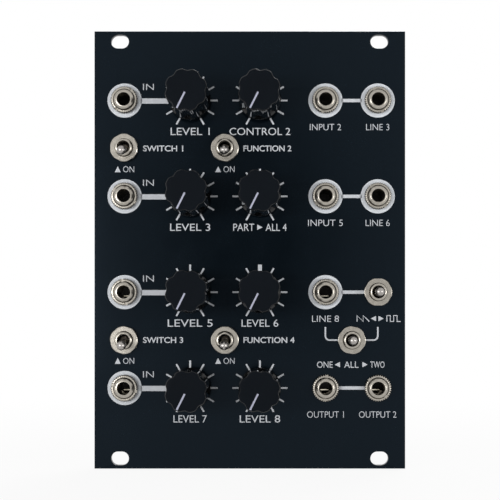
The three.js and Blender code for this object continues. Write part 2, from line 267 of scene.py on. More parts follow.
def rounded(shape, width, segments=2):
    """Rounds every sharp edge of a shape."""
    sharp = [edge for edge in shape.edges if edge.calc_face_angle(0) > 0.5]
    bmesh.ops.bevel(shape, geom=sharp, offset=width, segments=segments, affect="EDGES", profile=0.5)
    return shape


def box(low, high, edge=0.0):
    """A box between two corners, with rounded edges."""
    low, high = Vector(low), Vector(high)
    shape = bmesh.new()
    bmesh.ops.create_cube(shape, size=1.0)
    fit = Matrix.Translation((low + high) / 2) @ Matrix.Diagonal((*(high - low), 1.0))
    bmesh.ops.transform(shape, matrix=fit, verts=shape.verts)
    return rounded(shape, edge) if edge else shape


def punched(outline, low, high, edge=0.0):
    """An outline of (x, y) pairs given a thickness."""
    shape = ringed([[(x, y, low) for x, y in outline], [(x, y, high) for x, y in outline]])
    bmesh.ops.holes_fill(shape, edges=[edge for edge in shape.edges if edge.is_boundary])
    bmesh.ops.recalc_face_normals(shape, faces=shape.faces)
    return rounded(shape, edge) if edge else shape


def moved(shape, x=0.0, y=0.0, z=0.0, turn=0.0, axis="Z"):
    """A shape turned by some degrees and then shifted."""
    matrix = Matrix.Translation((x, y, z)) @ Matrix.Rotation(math.radians(turn), 4, axis)
    bmesh.ops.transform(shape, matrix=matrix, verts=shape.verts)
    return shape


def held(data):
    """A passing object that holds a mesh or a curve while modifiers work on it."""
    holder = bpy.data.objects.new("holder", data)
    bpy.context.scene.collection.objects.link(holder)
    return holder


def taken(holder):
    """What a holder's modifiers make of it, as a plain mesh. The holder goes."""
    seen = holder.evaluated_get(bpy.context.evaluated_depsgraph_get())
    result = bpy.data.meshes.new_from_object(seen)
    bpy.data.objects.remove(holder)
    return result


def mesh_of(*shapes):
    """Shapes as one plain mesh."""
    whole = bmesh.new()
    for shape in shapes:
        if isinstance(shape, bmesh.types.BMesh):
            part = bpy.data.meshes.new("part")
            shape.to_mesh(part)
            shape.free()
        else:
            part = shape
        whole.from_mesh(part)
        bpy.data.meshes.remove(part)
    mesh = bpy.data.meshes.new("mesh")
    whole.to_mesh(mesh)
    whole.free()
    return mesh


# %% [markdown]
# ## From a mesh to a piece of the module
#
# A piece is finished when its mesh stands at its real place, in metres, with its object at the origin.
# It then rides on the CAD body that it belongs to, takes the finishes that it is given, and hides the plain
# CAD node that it stands for. A small attribute keeps each point's radius, angle and height in the
# control's own frame, because a turned finish follows the piece's own axis. Normals could be left to an
# angle alone, but then a broken edge bends the light on the flat beside it. Weighed by the area of each
# face, they keep a flat face flat.

# %% Piece helper
piece_count = 0


def piece(name, mesh, place, body, finishes, stands_for=(), smooth=40):
    """Puts a mesh in its place as a finished piece."""
    global piece_count
    turn = mesh.attributes.new("turn", "FLOAT_VECTOR", "POINT")
    for vertex, value in zip(mesh.vertices, turn.data):
        x, y, z = vertex.co
        value.vector = (math.hypot(x, y), math.atan2(x, y) / math.tau, z)
    mesh.transform(place)
    for polygon in mesh.polygons:
        polygon.use_smooth = True
    mesh.set_sharp_from_angle(angle=math.radians(smooth))
    holder = held(mesh)
    holder.modifiers.new("weigh", "WEIGHTED_NORMAL").keep_sharp = True
    mesh = taken(holder)
    indices = [polygon.material_index for polygon in mesh.polygons]
    mesh.materials.clear()
    for material in finishes:
        mesh.materials.append(material)
    for polygon, index in zip(mesh.polygons, indices):
        polygon.material_index = min(index, len(finishes) - 1)
    made = bpy.data.objects.new(name, mesh)
    bpy.context.scene.collection.objects.link(made)
    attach(made, body)
    if stands_for:
        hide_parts(*stands_for)
    piece_count += 1


# %% [markdown]
# ## Growing what repeats
#
# Ticks, threads, flutes, pins and solder joints follow a rule, so Geometry Nodes grow them. A tree takes
# named inputs. The helper below sets them by their identifiers, takes the evaluated result as a plain
# mesh and throws the modifier away with the object that held it.

# %% Geometry Nodes helpers
FLOAT, COUNT, SHAPE, FINISH = "NodeSocketFloat", "NodeSocketInt", "NodeSocketObject", "NodeSocketMaterial"


def new_tree(name, **inputs):
    """An empty tree with geometry in and out, and its named inputs as sockets."""
    tree = bpy.data.node_groups.new(name, "GeometryNodeTree")
    tree.interface.new_socket("Geometry", in_out="INPUT", socket_type="NodeSocketGeometry")
    for label, kind in inputs.items():
        tree.interface.new_socket(label, in_out="INPUT", socket_type=kind)
    tree.interface.new_socket("Geometry", in_out="OUTPUT", socket_type="NodeSocketGeometry")
    return tree, tree.nodes.new("NodeGroupInput").outputs


def end_tree(tree, geometry, material):
    """The last nodes of every tree: real geometry with its finish."""
    real = add(tree, "GeometryNodeRealizeInstances", {"Geometry": geometry}).outputs[0]
    coated = add(tree, "GeometryNodeSetMaterial", {"Geometry": real, "Material": material}).outputs[0]
    add(tree, "NodeGroupOutput", {0: coated})


def grown(tree, mesh, **values):
    """What a tree makes of a mesh, as a plain mesh."""
    holder = held(mesh)
    modifier = holder.modifiers.new("grow", "NODES")
    modifier.node_group = tree
    for item in tree.interface.items_tree:
        if item.in_out == "INPUT" and item.name in values:
            modifier[item.identifier] = values[item.name]
    return taken(holder)


def polar(tree):
    """Sockets for each point's position, radius, angle as a share of a turn, and height."""
    position = add(tree, "GeometryNodeInputPosition").outputs[0]
    x, y, z = add(tree, "ShaderNodeSeparateXYZ", {0: position}).outputs
    squares = maths(tree, "ADD", maths(tree, "MULTIPLY", x, x), maths(tree, "MULTIPLY", y, y))
    radius = maths(tree, "SQRT", squares)
    share = maths(tree, "DIVIDE", maths(tree, "ARCTAN2", x, y), math.tau)
    return position, radius, share, z


def sink(tree, geometry, position, radius, depth):
    """Moves each point towards the z axis by a depth."""
    scale = maths(tree, "SUBTRACT", 1.0, maths(tree, "DIVIDE", depth, maths(tree, "MAXIMUM", radius, 0.01)))
    factors = add(tree, "ShaderNodeCombineXYZ", {0: scale, 1: scale, 2: 1.0}).outputs[0]
    target = add(tree, "ShaderNodeVectorMath", {0: position, 1: factors}, operation="MULTIPLY").outputs[0]
    return add(tree, "GeometryNodeSetPosition", {"Geometry": geometry, "Position": target}).outputs[0]


# %% [markdown]
# ## The panel
#
# The real panel is a punched and printed plate, 2 mm thick. It could be a box with holes cut from it,
# but a flat filled curve is closer to how it is made: one outline and a curve for each hole and slot,
# given a thickness and a fine broken edge in one go. The CAD part gives the holes their places.

# %% Panel plate
hole_gap, panel_edge = 0.25, 0.12
pot_bushing_radius, barrel_radius, switch_bushing_radius = 3.5, 2.95, 2.5
slot_row, slot_inset, slot_pitch, slot_length, slot_height = 3.0, 7.5, 76.2, 5.2, 4.0


def add_loop(curve, points):
    """One closed polygon on a flat curve."""
    spline = curve.splines.new("POLY")
    spline.points.add(len(points) - 1)
    for spot, (x, y) in zip(spline.points, points):
        spot.co = (x, y, 0, 1)
    spline.use_cyclic_u = True


def round_hole(x, y, radius, sides=48):
    return [(x + px, y + py) for px, py, _ in circle(radius, 0, sides)]


def long_hole(x, y, length, height, sides=24):
    """A slot's outline, round at both ends."""
    straight = (length - height) / 2
    angles = [math.pi * k / sides for k in range(sides + 1)]
    right = [(x + straight + height / 2 * math.sin(a), y + height / 2 * math.cos(a)) for a in angles]
    left = [(x - straight - height / 2 * math.sin(a), y - height / 2 * math.cos(a)) for a in angles]
    return right + left


def plate(loops, low, high, edge):
    """A filled plate between two heights. The first loop is its outline and the rest are its holes."""
    curve = bpy.data.curves.new("plate", "CURVE")
    curve.dimensions = "2D"
    curve.fill_mode = "BOTH"
    curve.extrude = (high - low) / 2 - edge
    curve.bevel_depth = edge
    curve.bevel_resolution = 1
    curve.offset = -edge
    for loop in loops:
        add_loop(curve, loop)
    mesh = taken(held(curve))
    shape = bmesh.new()
    shape.from_mesh(mesh)
    bmesh.ops.remove_doubles(shape, verts=shape.verts, dist=0.0005)
    bmesh.ops.recalc_face_normals(shape, faces=shape.faces)
    return moved(shape, z=(low + high) / 2)


left, right, bottom, top = panel_low.x, panel_high.x, panel_low.z, panel_high.z
panel_loops = [[(left, bottom), (right, bottom), (right, top), (left, top)]]
for x in (left + slot_inset, left + slot_inset + slot_pitch):
    for y in (bottom + slot_row, top - slot_row):
        panel_loops.append(long_hole(x, y, slot_length, slot_height))
for spots, radius in ((knob_spots, pot_bushing_radius), (socket_spots, barrel_radius),
                      (switch_spots, switch_bushing_radius)):
    panel_loops += [round_hole(spot.x, spot.z, radius + hole_gap) for spot in spots]
panel_mesh = mesh_of(plate(panel_loops, 0, panel_front, panel_edge))
piece("panel_plate", panel_mesh, standing(0, 0), "module", [panel_coat], ["front_panel"], 25)
print("panel with", len(panel_loops) - 1, "openings and", len(panel_mesh.polygons), "faces")

# %% [markdown]
# ## Printed scales
#
# Screen printing leaves a film of ink that stands a few hundredths of a millimetre proud. A dial has
# eleven ticks, 30 degrees apart. They could be drawn one by one, but they are one tick repeated about
# the shaft, so a tree does that. Where a bar runs in from the left, it takes the place of one tick.

# %% A tree that repeats a shape about the axis
ink_low, ink_high = panel_front - 0.01, panel_front + 0.03


def tree_around():
    """Repeats the geometry about z, Count times, from First on, Step degrees apart, clockwise."""
    tree, given = new_tree("around", Count=COUNT, First=FLOAT, Step=FLOAT, Finish=FINISH)
    points = add(tree, "GeometryNodeMeshLine", {"Count": given["Count"], "Offset": (0, 0, 0)}).outputs[0]
    index = add(tree, "GeometryNodeInputIndex").outputs[0]
    degrees = maths(tree, "ADD", given["First"], maths(tree, "MULTIPLY", index, given["Step"]))
    spin = maths(tree, "MULTIPLY", maths(tree, "RADIANS", degrees), -1.0)
    turn = add(tree, "ShaderNodeCombineXYZ", {2: spin}).outputs[0]
    rotation = add(tree, "FunctionNodeEulerToRotation", {0: turn}).outputs[0]
    copies = add(tree, "GeometryNodeInstanceOnPoints",
                 {"Points": points, "Instance": given["Geometry"], "Rotation": rotation}).outputs[0]
    end_tree(tree, copies, given["Finish"])
    return tree


around = tree_around()

# %% Dials
tick_count, tick_step, tick_inner, tick_outer = 11, 30.0, 6.0, 8.1
tick_width, twelve_width = 0.5, 0.55
centre_click_dial, centre_click_width = 6, 1.15


def tick(width):
    """One tick at twelve o'clock."""
    return mesh_of(box((-width / 2, tick_inner, ink_low), (width / 2, tick_outer, ink_high)))


def dial(number):
    """One dial's ticks. The left column has no tick at nine o'clock, where its bar comes in."""
    half = tick_count // 2
    top_width = centre_click_width if number == centre_click_dial else twelve_width
    left_column = number % 2 == 1
    left_ticks = [k for k in range(1, half + 1) if not (left_column and k * tick_step == 90)]
    runs = [(tick(top_width), 0.0, 1), (tick(tick_width), tick_step, half)]
    runs += [(tick(tick_width), -tick_step * k, 1) for k in left_ticks]
    return [grown(around, mesh, Count=count, First=first, Step=tick_step, Finish=ink)
            for mesh, first, count in runs]


for number, spot in enumerate(knob_spots, 1):
    mesh = mesh_of(*dial(number))
    piece(f"dial_{number}", mesh, standing(spot.x, spot.z), "module", [ink])
print(len(knob_spots), "dials")

# %% [markdown]
# ## Rings, bars and lines
#
# Nine sockets stand on a pale printed disc. Bars tie sockets that belong together, and a thin bracket
# ties a socket and a switch to the switch below. A line could be a row of boxes, but a tree that runs a
# flat section along a path keeps its corners whole and rounds them.

# %% A tree that prints a line along a path


def tree_line():
    """Runs a flat section along the mesh's edges, with its corners rounded."""
    tree, given = new_tree("line", Width=FLOAT, Thickness=FLOAT, Corner=FLOAT, Finish=FINISH)
    path = add(tree, "GeometryNodeMeshToCurve", {"Mesh": given["Geometry"]}).outputs[0]
    bend = add(tree, "GeometryNodeFilletCurve", {"Curve": path, "Radius": given["Corner"], "Count": 5},
               mode="POLY")
    level = add(tree, "GeometryNodeSetCurveNormal", {"Curve": bend.outputs[0]}, mode="Z_UP").outputs[0]
    section = add(tree, "GeometryNodeCurvePrimitiveQuadrilateral",
                  {"Width": given["Width"], "Height": given["Thickness"]}).outputs[0]
    swept = add(tree, "GeometryNodeCurveToMesh",
                {"Curve": level, "Profile Curve": section, "Fill Caps": True}).outputs[0]
    end_tree(tree, swept, given["Finish"])
    return tree


line = tree_line()


def path_mesh(*paths):
    """Open paths of (x, y) points, half way up the ink."""
    mesh = bpy.data.meshes.new("path")
    points, edges = [], []
    for path in paths:
        edges += [(len(points) + k, len(points) + k + 1) for k in range(len(path) - 1)]
        points += [(x, y, (ink_low + ink_high) / 2) for x, y in path]
    mesh.from_pydata(points, edges, [])
    return mesh


def printed(name, mesh, pigment=ink):
    """A film of ink on the panel."""
    piece(name, mesh, standing(0, 0), "module", [pigment])


def printed_line(name, width, *paths, corner=0.0):
    """Paths on the panel, printed in one width."""
    values = {"Width": width, "Thickness": ink_high - ink_low, "Corner": corner, "Finish": ink}
    printed(name, grown(line, path_mesh(*paths), **values))


# %% Discs, bars and the bracket
disc_radius, disc_sides, disc_count = 5.02, 72, 9
left_bar_height, left_bar_drop, bar_height, bar_overlap = 1.55, 0.15, 0.98, 0.3
bracket_width, bracket_corner, nut_inside = 0.46, 1.2, 3.2
bracket_top, bracket_left, bracket_right = 38.65, 22.2, 37.6

disc_hole = barrel_radius + hole_gap
disc_profile = [(disc_hole, ink_low), (disc_radius, ink_low), (disc_radius, ink_high), (disc_hole, ink_high)]
discs = [moved(turned(disc_profile, disc_sides, closed=True), spot.x, spot.z)
         for spot in socket_spots[:disc_count]]
# The discs take the lighter copy of the ink: painted light.
printed("socket_discs", mesh_of(*discs), disc_ink_painted_lighter)

left_bars = []
for knob in knob_spots[::2]:
    spot = [s for s in socket_spots if abs(s.z - knob.z) < 1][0]
    level = knob.z - left_bar_drop
    left_bars.append([(spot.x + disc_radius - bar_overlap, level), (knob.x - tick_inner, level)])
printed_line("left_bars", left_bar_height, *left_bars)

wave_switch, mix = switch_spots[2], switch_spots[5]
pairs = [(socket_spots[1], socket_spots[2], disc_radius, disc_radius),
         (socket_spots[4], socket_spots[5], disc_radius, disc_radius),
         (socket_spots[9], socket_spots[10], nut_inside, nut_inside),
         (socket_spots[7], wave_switch, disc_radius, nut_inside)]
bars = [[(a.x + leave - bar_overlap, a.z), (b.x - reach + bar_overlap, b.z)] for a, b, leave, reach in pairs]
printed_line("pair_bars", bar_height, *bars)

bracket = [[(bracket_left, bracket_top), (bracket_left, mix.z), (mix.x - nut_inside, mix.z)],
           [(mix.x + nut_inside, mix.z), (bracket_right, mix.z), (bracket_right, bracket_top)]]
printed_line("bracket", bracket_width, *bracket, corner=bracket_corner)
print(len(discs), "discs,", len(left_bars) + len(bars), "bars and a bracket")

# %% [markdown]
# ## Lettering
#
# Words on a panel are set to a cap height and a width. Blender's text gives them as a curve, which is
# made a mesh, measured, and then brought to the size that its place asks for. The words are plain ones:
# what a control does and its number. The title's place and the line at the foot stay bare.

# %% Words as raised ink


def lettered(text, width, cap, x, y, side="middle", weight=0.0):
    """Words of a width and cap height, with their middle or left end at x and their middle at y."""
    curve = bpy.data.curves.new("words", "FONT")
    curve.body = text
    curve.size = 3.0
    curve.offset = weight
    curve.resolution_u = 4
    curve.fill_mode = "BOTH"
    curve.extrude = (ink_high - ink_low) / 2
    mesh = taken(held(curve))
    xs = [v.co.x for v in mesh.vertices]
    ys = [v.co.y for v in mesh.vertices]
    fit = Matrix.Diagonal((width / (max(xs) - min(xs)), cap / (max(ys) - min(ys)), 1.0, 1.0))
    first = (x - width / 2) if side == "middle" else x
    centred = Matrix.Translation((-min(xs), -(min(ys) + max(ys)) / 2, 0))
    mesh.transform(Matrix.Translation((first, y, (ink_low + ink_high) / 2)) @ fit @ centred)
    mesh.update()
    return mesh


def arrow(x, y, size, degrees):
    """A solid triangle that points up, turned anticlockwise by some degrees."""
    outline = [(0, size / 2), (-size / 2, -size / 2), (size / 2, -size / 2)]
    return moved(punched(outline, ink_low, ink_high), x, y, turn=degrees)


# %% Words under the knobs and the sockets
knob_word_drop, knob_cap = 9.09, 2.15
socket_word_drop, socket_cap, thin = 7.8, 1.87, -0.025
side_word_right, side_word_rise, side_width, side_cap = 6.99, 4.0, 3.2, 1.8
side_words = (0, 3, 6, 8)
knob_words = {0: ("LEVEL 1", 11.5), 1: ("CONTROL 2", 17.9), 2: ("LEVEL 3", 11.8), 4: ("LEVEL 5", 13.2),
              5: ("LEVEL 6", 10.8), 6: ("LEVEL 7", 9.8), 7: ("LEVEL 8", 11.9)}
part_offset, part_width, part_arrow = 4.75, 6.2, 1.6
socket_words = {1: ("INPUT 2", 9.2), 2: ("LINE 3", 6.8), 4: ("INPUT 5", 10.2), 5: ("LINE 6", 7.1),
                7: ("LINE 8", 7.9), 9: ("OUTPUT 1", 10.8), 10: ("OUTPUT 2", 11.0)}

words = []
for index, (text, width) in knob_words.items():
    spot = knob_spots[index]
    words.append(lettered(text, width, knob_cap, spot.x, spot.z - knob_word_drop))
part_x, part_y = knob_spots[3].x, knob_spots[3].z - knob_word_drop
words.append(lettered("PART", part_width, knob_cap, part_x - part_offset, part_y))
words.append(lettered("ALL 4", part_width, knob_cap, part_x + part_offset, part_y))
words.append(arrow(part_x, part_y, part_arrow, -90))
for index, (text, width) in socket_words.items():
    spot = socket_spots[index]
    words.append(lettered(text, width, socket_cap, spot.x, spot.z - socket_word_drop, weight=thin))
for index in side_words:
    x, y = socket_spots[index].x + side_word_right, socket_spots[index].z + side_word_rise
    words.append(lettered("IN", side_width, side_cap, x, y, weight=thin))
printed("control_words", mesh_of(*words))
print(len(words), "words at knobs and sockets")

# %% Words and arrows at the switches
bold, switch_cap, switch_word_right = 0.045, 1.76, 5.4
on_drop, on_cap, on_width, on_right, on_arrow_left = 6.11, 1.75, 3.25, 1.18, 2.02
legend_drop, mix_drop, sign_arrow = 7.74, 7.21, 1.55
switch_words = {0: ("SWITCH 1", 11.8), 1: ("FUNCTION 2", 14.1),
                3: ("SWITCH 3", 11.8), 4: ("FUNCTION 4", 15.0)}
mix_words = [("ONE", 4.6, -7.85), ("ALL", 4.2, -0.08), ("TWO", 4.2, 7.6)]

signs = []
for index, (text, width) in switch_words.items():
    spot = switch_spots[index]
    signs.append(lettered(text, width, switch_cap, spot.x + switch_word_right, spot.z, "left", bold))
    signs.append(arrow(spot.x - on_arrow_left, spot.z - on_drop, on_cap, 0))
    signs.append(lettered("ON", on_width, on_cap, spot.x + on_right, spot.z - on_drop, weight=thin))
mix_y, wave_y = mix.z - mix_drop, wave_switch.z - legend_drop
signs += [lettered(text, width, socket_cap, mix.x + right, mix_y) for text, width, right in mix_words]
for x, y, near, far in ((mix.x, mix_y, -4.18, 3.95), (wave_switch.x, wave_y, -1.26, 1.0)):
    signs += [arrow(x + near, y, sign_arrow, 90), arrow(x + far, y, sign_arrow, -90)]
printed("switch_words", mesh_of(*signs))
print(len(signs), "words and arrows at the switches")

# %% A saw wave and a square wave
wave_width, wave_height = 0.3, 1.75
saw_left, saw_tooth, square_left, square_step = -6.06, 1.8, 2.7, 1.0
low_y, high_y = wave_y - wave_height / 2, wave_y + wave_height / 2
saw = [(wave_switch.x + saw_left + saw_tooth * k, y) for k in range(2) for y in (low_y, high_y)]
saw.append((saw[-1][0] + saw_tooth, low_y))
square = []
for k in range(4):
    x = wave_switch.x + square_left + square_step * k
    square += [(x, low_y), (x, high_y)] if k % 2 == 0 else [(x, high_y), (x, low_y)]
square.append((wave_switch.x + square_left + square_step * 4, low_y))
printed_line("wave_signs", wave_width, saw, square)
print("wave signs of", len(saw), "and", len(square), "points")

# %% [markdown]
# ## Knobs
#
# The knob is moulded: a plain ring at its foot, eight lobes with shallow flutes between them, and a
# flat matt crown with a white line let into it. It could be carved from a cylinder by booleans. Its
# flutes follow a rule, so a plain turned body is made first and a tree sinks its wall by that rule.

# %% The flute tree


def tree_flutes():
    """Sinks the wall between lobes. A flute is a smooth dip that fills a share of the pitch."""
    tree, given = new_tree("flutes", Count=FLOAT, Depth=FLOAT, Share=FLOAT, Inside=FLOAT, Low=FLOAT,
                           Fade=FLOAT, Finish=FINISH)
    position, radius, share, height = polar(tree)
    offset = round_wave(tree, share, given["Count"])
    reach = maths(tree, "MINIMUM", maths(tree, "DIVIDE", offset, given["Share"]), 1.0)
    smooth = maths(tree, "COSINE", maths(tree, "MULTIPLY", reach, math.pi))
    depth = maths(tree, "MULTIPLY", maths(tree, "MULTIPLY_ADD", smooth, 0.5, 0.5), given["Depth"])
    above = ramp(tree, height, given["Low"], maths(tree, "ADD", given["Low"], given["Fade"]))
    outside = maths(tree, "GREATER_THAN", radius, given["Inside"])
    sunk = maths(tree, "MULTIPLY", maths(tree, "MULTIPLY", depth, above), outside)
    end_tree(tree, sink(tree, given["Geometry"], position, radius, sunk), given["Finish"])
    return tree


flutes = tree_flutes()

# %% One knob's sizes and shape
knob_skirt, knob_crown_height = panel_front + 2.6, -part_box("knob_1")[0].y / MM
skirt_radius, skirt_height, skirt_edge, skirt_lip = 6.15, 1.0, 0.25, 0.2
lobe_radius, crown_edge, crown_ring = 6.05, 0.4, 2.0
flute_count, flute_depth, flute_share, flute_fade = 8, 0.55, 0.75, 0.3
recess_radius, recess_depth, recess_edge, shaft_radius = 4.3, 2.4, 0.3, 3.0
shaft_end = -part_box("knob_1")[1].y / MM
pointer_turn = 153.5


def knob_profile():
    """From the recess's roof round the skirt and up the wall to the crown's middle."""
    skirt_top, roof = knob_skirt + skirt_height, knob_skirt + recess_depth
    profile = [(0, roof), (recess_radius - recess_edge, roof), (recess_radius, roof - recess_edge),
               (recess_radius, knob_skirt + skirt_lip), (recess_radius + skirt_lip, knob_skirt),
               (skirt_radius - skirt_edge, knob_skirt), (skirt_radius, knob_skirt + skirt_edge),
               (skirt_radius, skirt_top - skirt_lip), (skirt_radius - 0.06, skirt_top - 0.05),
               (lobe_radius, skirt_top)]
    wall = knob_crown_height - crown_edge
    for share in (0.03, 0.06, 0.35, 0.7, 1.0):
        profile.append((lobe_radius, skirt_top + (wall - skirt_top) * share))
    for angle in (math.pi / 6, math.pi / 3, math.pi / 2):
        across, up = crown_edge * (1 - math.cos(angle)), crown_edge * math.sin(angle)
        profile.append((lobe_radius - across, wall + up))
    return profile + [(radius, knob_crown_height) for radius in (recess_radius + recess_edge, crown_ring, 0)]


def knob_mesh():
    """The fluted body, with its crown's faces marked for the matt finish."""
    sides = flute_count * 20
    body = grown(flutes, mesh_of(turned(knob_profile(), sides)), Count=float(flute_count), Depth=flute_depth,
                 Share=flute_share, Inside=recess_radius + 0.5, Low=knob_skirt + skirt_height + 0.02,
                 Fade=flute_fade, Finish=knob_wall)
    for polygon in body.polygons:
        flat_top = polygon.center.z > knob_crown_height - 0.05 and polygon.normal.z > 0.9
        polygon.material_index = 1 if flat_top else 0
    return body


# %% Knobs on their bodies
pointer_width, pointer_start, pointer_end, pointer_sunk, pointer_rise = 0.5, 0.7, 5.7, 0.05, 0.03
shaft_top = knob_skirt + recess_depth + 0.5
shaft_profile = [(0, shaft_end), (shaft_radius - 0.2, shaft_end), (shaft_radius, shaft_end + 0.2),
                 (shaft_radius, shaft_top), (0, shaft_top)]
line_white = finish("line_white", linear(176, 178, 196), 0.5, specular=0.2, grain=0.5, shade=0.05, bump=0.01)
steel = finish("steel", linear(150, 150, 152), 0.3, metallic=1.0, grain=0.4, shade=0.08, bump=0.01)

for number, spot in enumerate(knob_spots, 1):
    place, body = standing(spot.x, spot.z, pointer_turn), f"knob_{number}"
    piece(f"knob_{number}_cap", knob_mesh(), place, body, [knob_wall, knob_crown], [body], 35)
    pointer = box((-pointer_width / 2, pointer_start, knob_crown_height - pointer_sunk),
                  (pointer_width / 2, pointer_end, knob_crown_height + pointer_rise), 0.02)
    piece(f"knob_{number}_line", mesh_of(pointer), place, body, [line_white])
    shaft = turned(shaft_profile, 40)
    piece(f"knob_{number}_shaft", mesh_of(shaft), place, body, [steel])

# %% [markdown]
# ## Plated and threaded parts
#
# Bushings, barrels and nuts are turned from brass and nickel plated. The lathe leaves fine rings round
# the axis, so this finish reads the radius, angle and height that each piece keeps. A screw thread is a
# ridge that climbs by one pitch a turn: a wave of height less angle. The same kind of rule, without the
# climb, makes the knurl on a round nut, and its grooves are painted near black, as painted shade.

# %% Turned metal
# The near-black colour below is painted shade for the grooves of a knurl.
groove_shade, ring_width, cloud_size = linear(18, 16, 14), 0.05, 0.9


def turned_metal(name, colour, roughness, depth=0.01, shade=0.12, teeth=0.0):
    """Plated metal with the fine rings that a lathe leaves. The grooves between teeth are painted dark, as
    painted shade.
    """
    material, tree, shader = new_finish(name, 1.0)
    place = add(tree, "ShaderNodeAttribute", attribute_name="turn").outputs["Vector"]
    stretch = (1 / ring_width, 0.8, 1 / ring_width)
    stretched = add(tree, "ShaderNodeVectorMath", {0: place, 1: stretch}, operation="MULTIPLY").outputs[0]
    rings = add(tree, "ShaderNodeTexNoise", {"Vector": stretched, "Scale": 1.0, "Detail": 2.0}).outputs[0]
    spot = add(tree, "ShaderNodeTexCoord").outputs["Object"]
    cloud = add(tree, "ShaderNodeTexNoise", {"Vector": spot, "Scale": 1 / (cloud_size * MM), "Detail": 3.0})
    plated = shaded(tree, colour, shade, ramp(tree, cloud.outputs[0], 0.3, 0.7))
    share = add(tree, "ShaderNodeSeparateXYZ", {0: place}).outputs[1]
    # Between the teeth the plated colour gives way to painted shade.
    groove = ramp(tree, round_wave(tree, share, teeth), 0.3, 0.5) if teeth else 0.0
    tree.links.new(mixed(tree, groove, plated, groove_shade), shader.inputs["Base Color"])
    tree.links.new(ramp(tree, rings, 0.3, 0.7, roughness * 0.7, roughness * 1.4), shader.inputs["Roughness"])
    raised = add(tree, "ShaderNodeBump", {"Height": rings, "Distance": depth * MM, "Strength": 0.5})
    tree.links.new(raised.outputs[0], shader.inputs["Normal"])
    return material


nickel = turned_metal("nickel", linear(166, 161, 152), 0.26)

# %% Thread and knurl trees


def tree_thread():
    """Cuts a thread: a wave of height less angle, on the outer wall between two heights."""
    tree, given = new_tree("thread", Pitch=FLOAT, Depth=FLOAT, Outside=FLOAT, Low=FLOAT, High=FLOAT,
                           Finish=FINISH)
    position, radius, share, height = polar(tree)
    groove = wave(tree, maths(tree, "SUBTRACT", maths(tree, "DIVIDE", height, given["Pitch"]), share))
    above = maths(tree, "GREATER_THAN", height, given["Low"])
    below = maths(tree, "LESS_THAN", height, given["High"])
    outer = maths(tree, "GREATER_THAN", radius, given["Outside"])
    here = maths(tree, "MULTIPLY", maths(tree, "MULTIPLY", above, below), outer)
    depth = maths(tree, "MULTIPLY", maths(tree, "MULTIPLY", groove, given["Depth"]), here)
    end_tree(tree, sink(tree, given["Geometry"], position, radius, depth), given["Finish"])
    return tree


def tree_knurl():
    """Presses narrow straight grooves into the outer wall."""
    tree, given = new_tree("knurl", Count=FLOAT, Depth=FLOAT, Outside=FLOAT, Finish=FINISH)
    position, radius, share, _ = polar(tree)
    groove = ramp(tree, round_wave(tree, share, given["Count"]), 0.35, 0.65)
    outer = maths(tree, "GREATER_THAN", radius, given["Outside"])
    depth = maths(tree, "MULTIPLY", maths(tree, "MULTIPLY", groove, given["Depth"]), outer)
    end_tree(tree, sink(tree, given["Geometry"], position, radius, depth), given["Finish"])
    return tree


thread, knurl = tree_thread(), tree_knurl()


def threaded(radius, low, high, lip, bore, pitch=0.5, depth=0.12, sides=48):
    """A threaded tube with a chamfered tip. Lip lists the tip's profile, from the wall in to the bore."""
    steps = int((high - low) / (pitch / 6))
    wall = [(radius, low + (high - low) * k / steps) for k in range(steps + 1)]
    tube = turned([(bore, low)] + wall + lip, sides, closed=True)
    return grown(thread, mesh_of(tube), Pitch=pitch, Depth=depth, Outside=radius - 0.02, Low=low + 0.1,
                 High=high - 0.02, Finish=nickel)


print("trees:", [tree.name for tree in bpy.data.node_groups])

# %% [markdown]
# ## Sockets
#
# A socket for a small plug is a moulded housing with a threaded barrel. The housing stands on the board
# behind the panel, the barrel comes through, and a round nut with two key slots holds the panel. Deep in
# the bore a sprung contact catches the light. All of it is made once and placed eleven times.

# %% Socket parts
housing_black = finish("housing_black", linear(18, 18, 20), 0.45, specular=0.2,
                       grain=0.4, shade=0.15, bump=0.02)
spring_silver = finish("spring_silver", linear(226, 218, 200), 0.12, metallic=1.0,
                       grain=0.2, shade=0.05, bump=0.001, rough_shift=0.02)
seat_gap, nut_gap = 0.1, 0.1
body_rear = -(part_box("socket_1")[1].y / MM)
barrel_tip, barrel_chamfer, bore_radius, bore_floor = panel_front + 2.7, 0.55, 1.9, 1.4
barrel_lip = [(2.88, 0.42), (2.74, 0.27), (2.32, 0.03), (2.26, 0), (1.97, 0), (bore_radius, 0.12)]
socket_width, socket_height, socket_drop, housing_corner, housing_bore = 9.0, 10.5, 0.65, 1.6, 2.4
nut_radius, nut_thickness, nut_chamfer, nut_edge = 3.95, 1.7, 0.35, 0.15
key_width, key_depth = 0.9, 0.7
spring_path = [(-1.6, -8.6), (-1.1, -7.6), (-0.8, -6.8), (-0.72, -6.2), (-0.85, -5.7)]
spring_thick, spring_half = 0.28, 1.2
knurl_count, knurl_depth = 36, 0.15
# This finish paints shade into the grooves between the knurl's teeth.
knurled = turned_metal("knurled", linear(166, 161, 152), 0.26, teeth=float(knurl_count))


def cut(mesh, *cutters):
    """A mesh with other shapes cut out of it."""
    holder = held(mesh)
    tools = [held(mesh_of(cutter)) for cutter in cutters]
    for tool in tools:
        modifier = holder.modifiers.new("cut", "BOOLEAN")
        modifier.operation = "DIFFERENCE"
        modifier.solver = "EXACT"
        modifier.object = tool
    result = taken(holder)
    for tool in tools:
        bpy.data.objects.remove(tool)
    return result


def socket_housing():
    """The moulded block, with two cut corners and a round seat for its barrel."""
    half, high = socket_width / 2, socket_height / 2 - socket_drop
    low = high - socket_height
    outline = [(-half, low + housing_corner), (housing_corner - half, low), (half - housing_corner, low),
               (half, low + housing_corner), (half, high), (-half, high)]
    block = mesh_of(punched(outline, body_rear, -seat_gap, 0.25))
    return cut(block, rod(housing_bore, body_rear + bore_floor, 1))


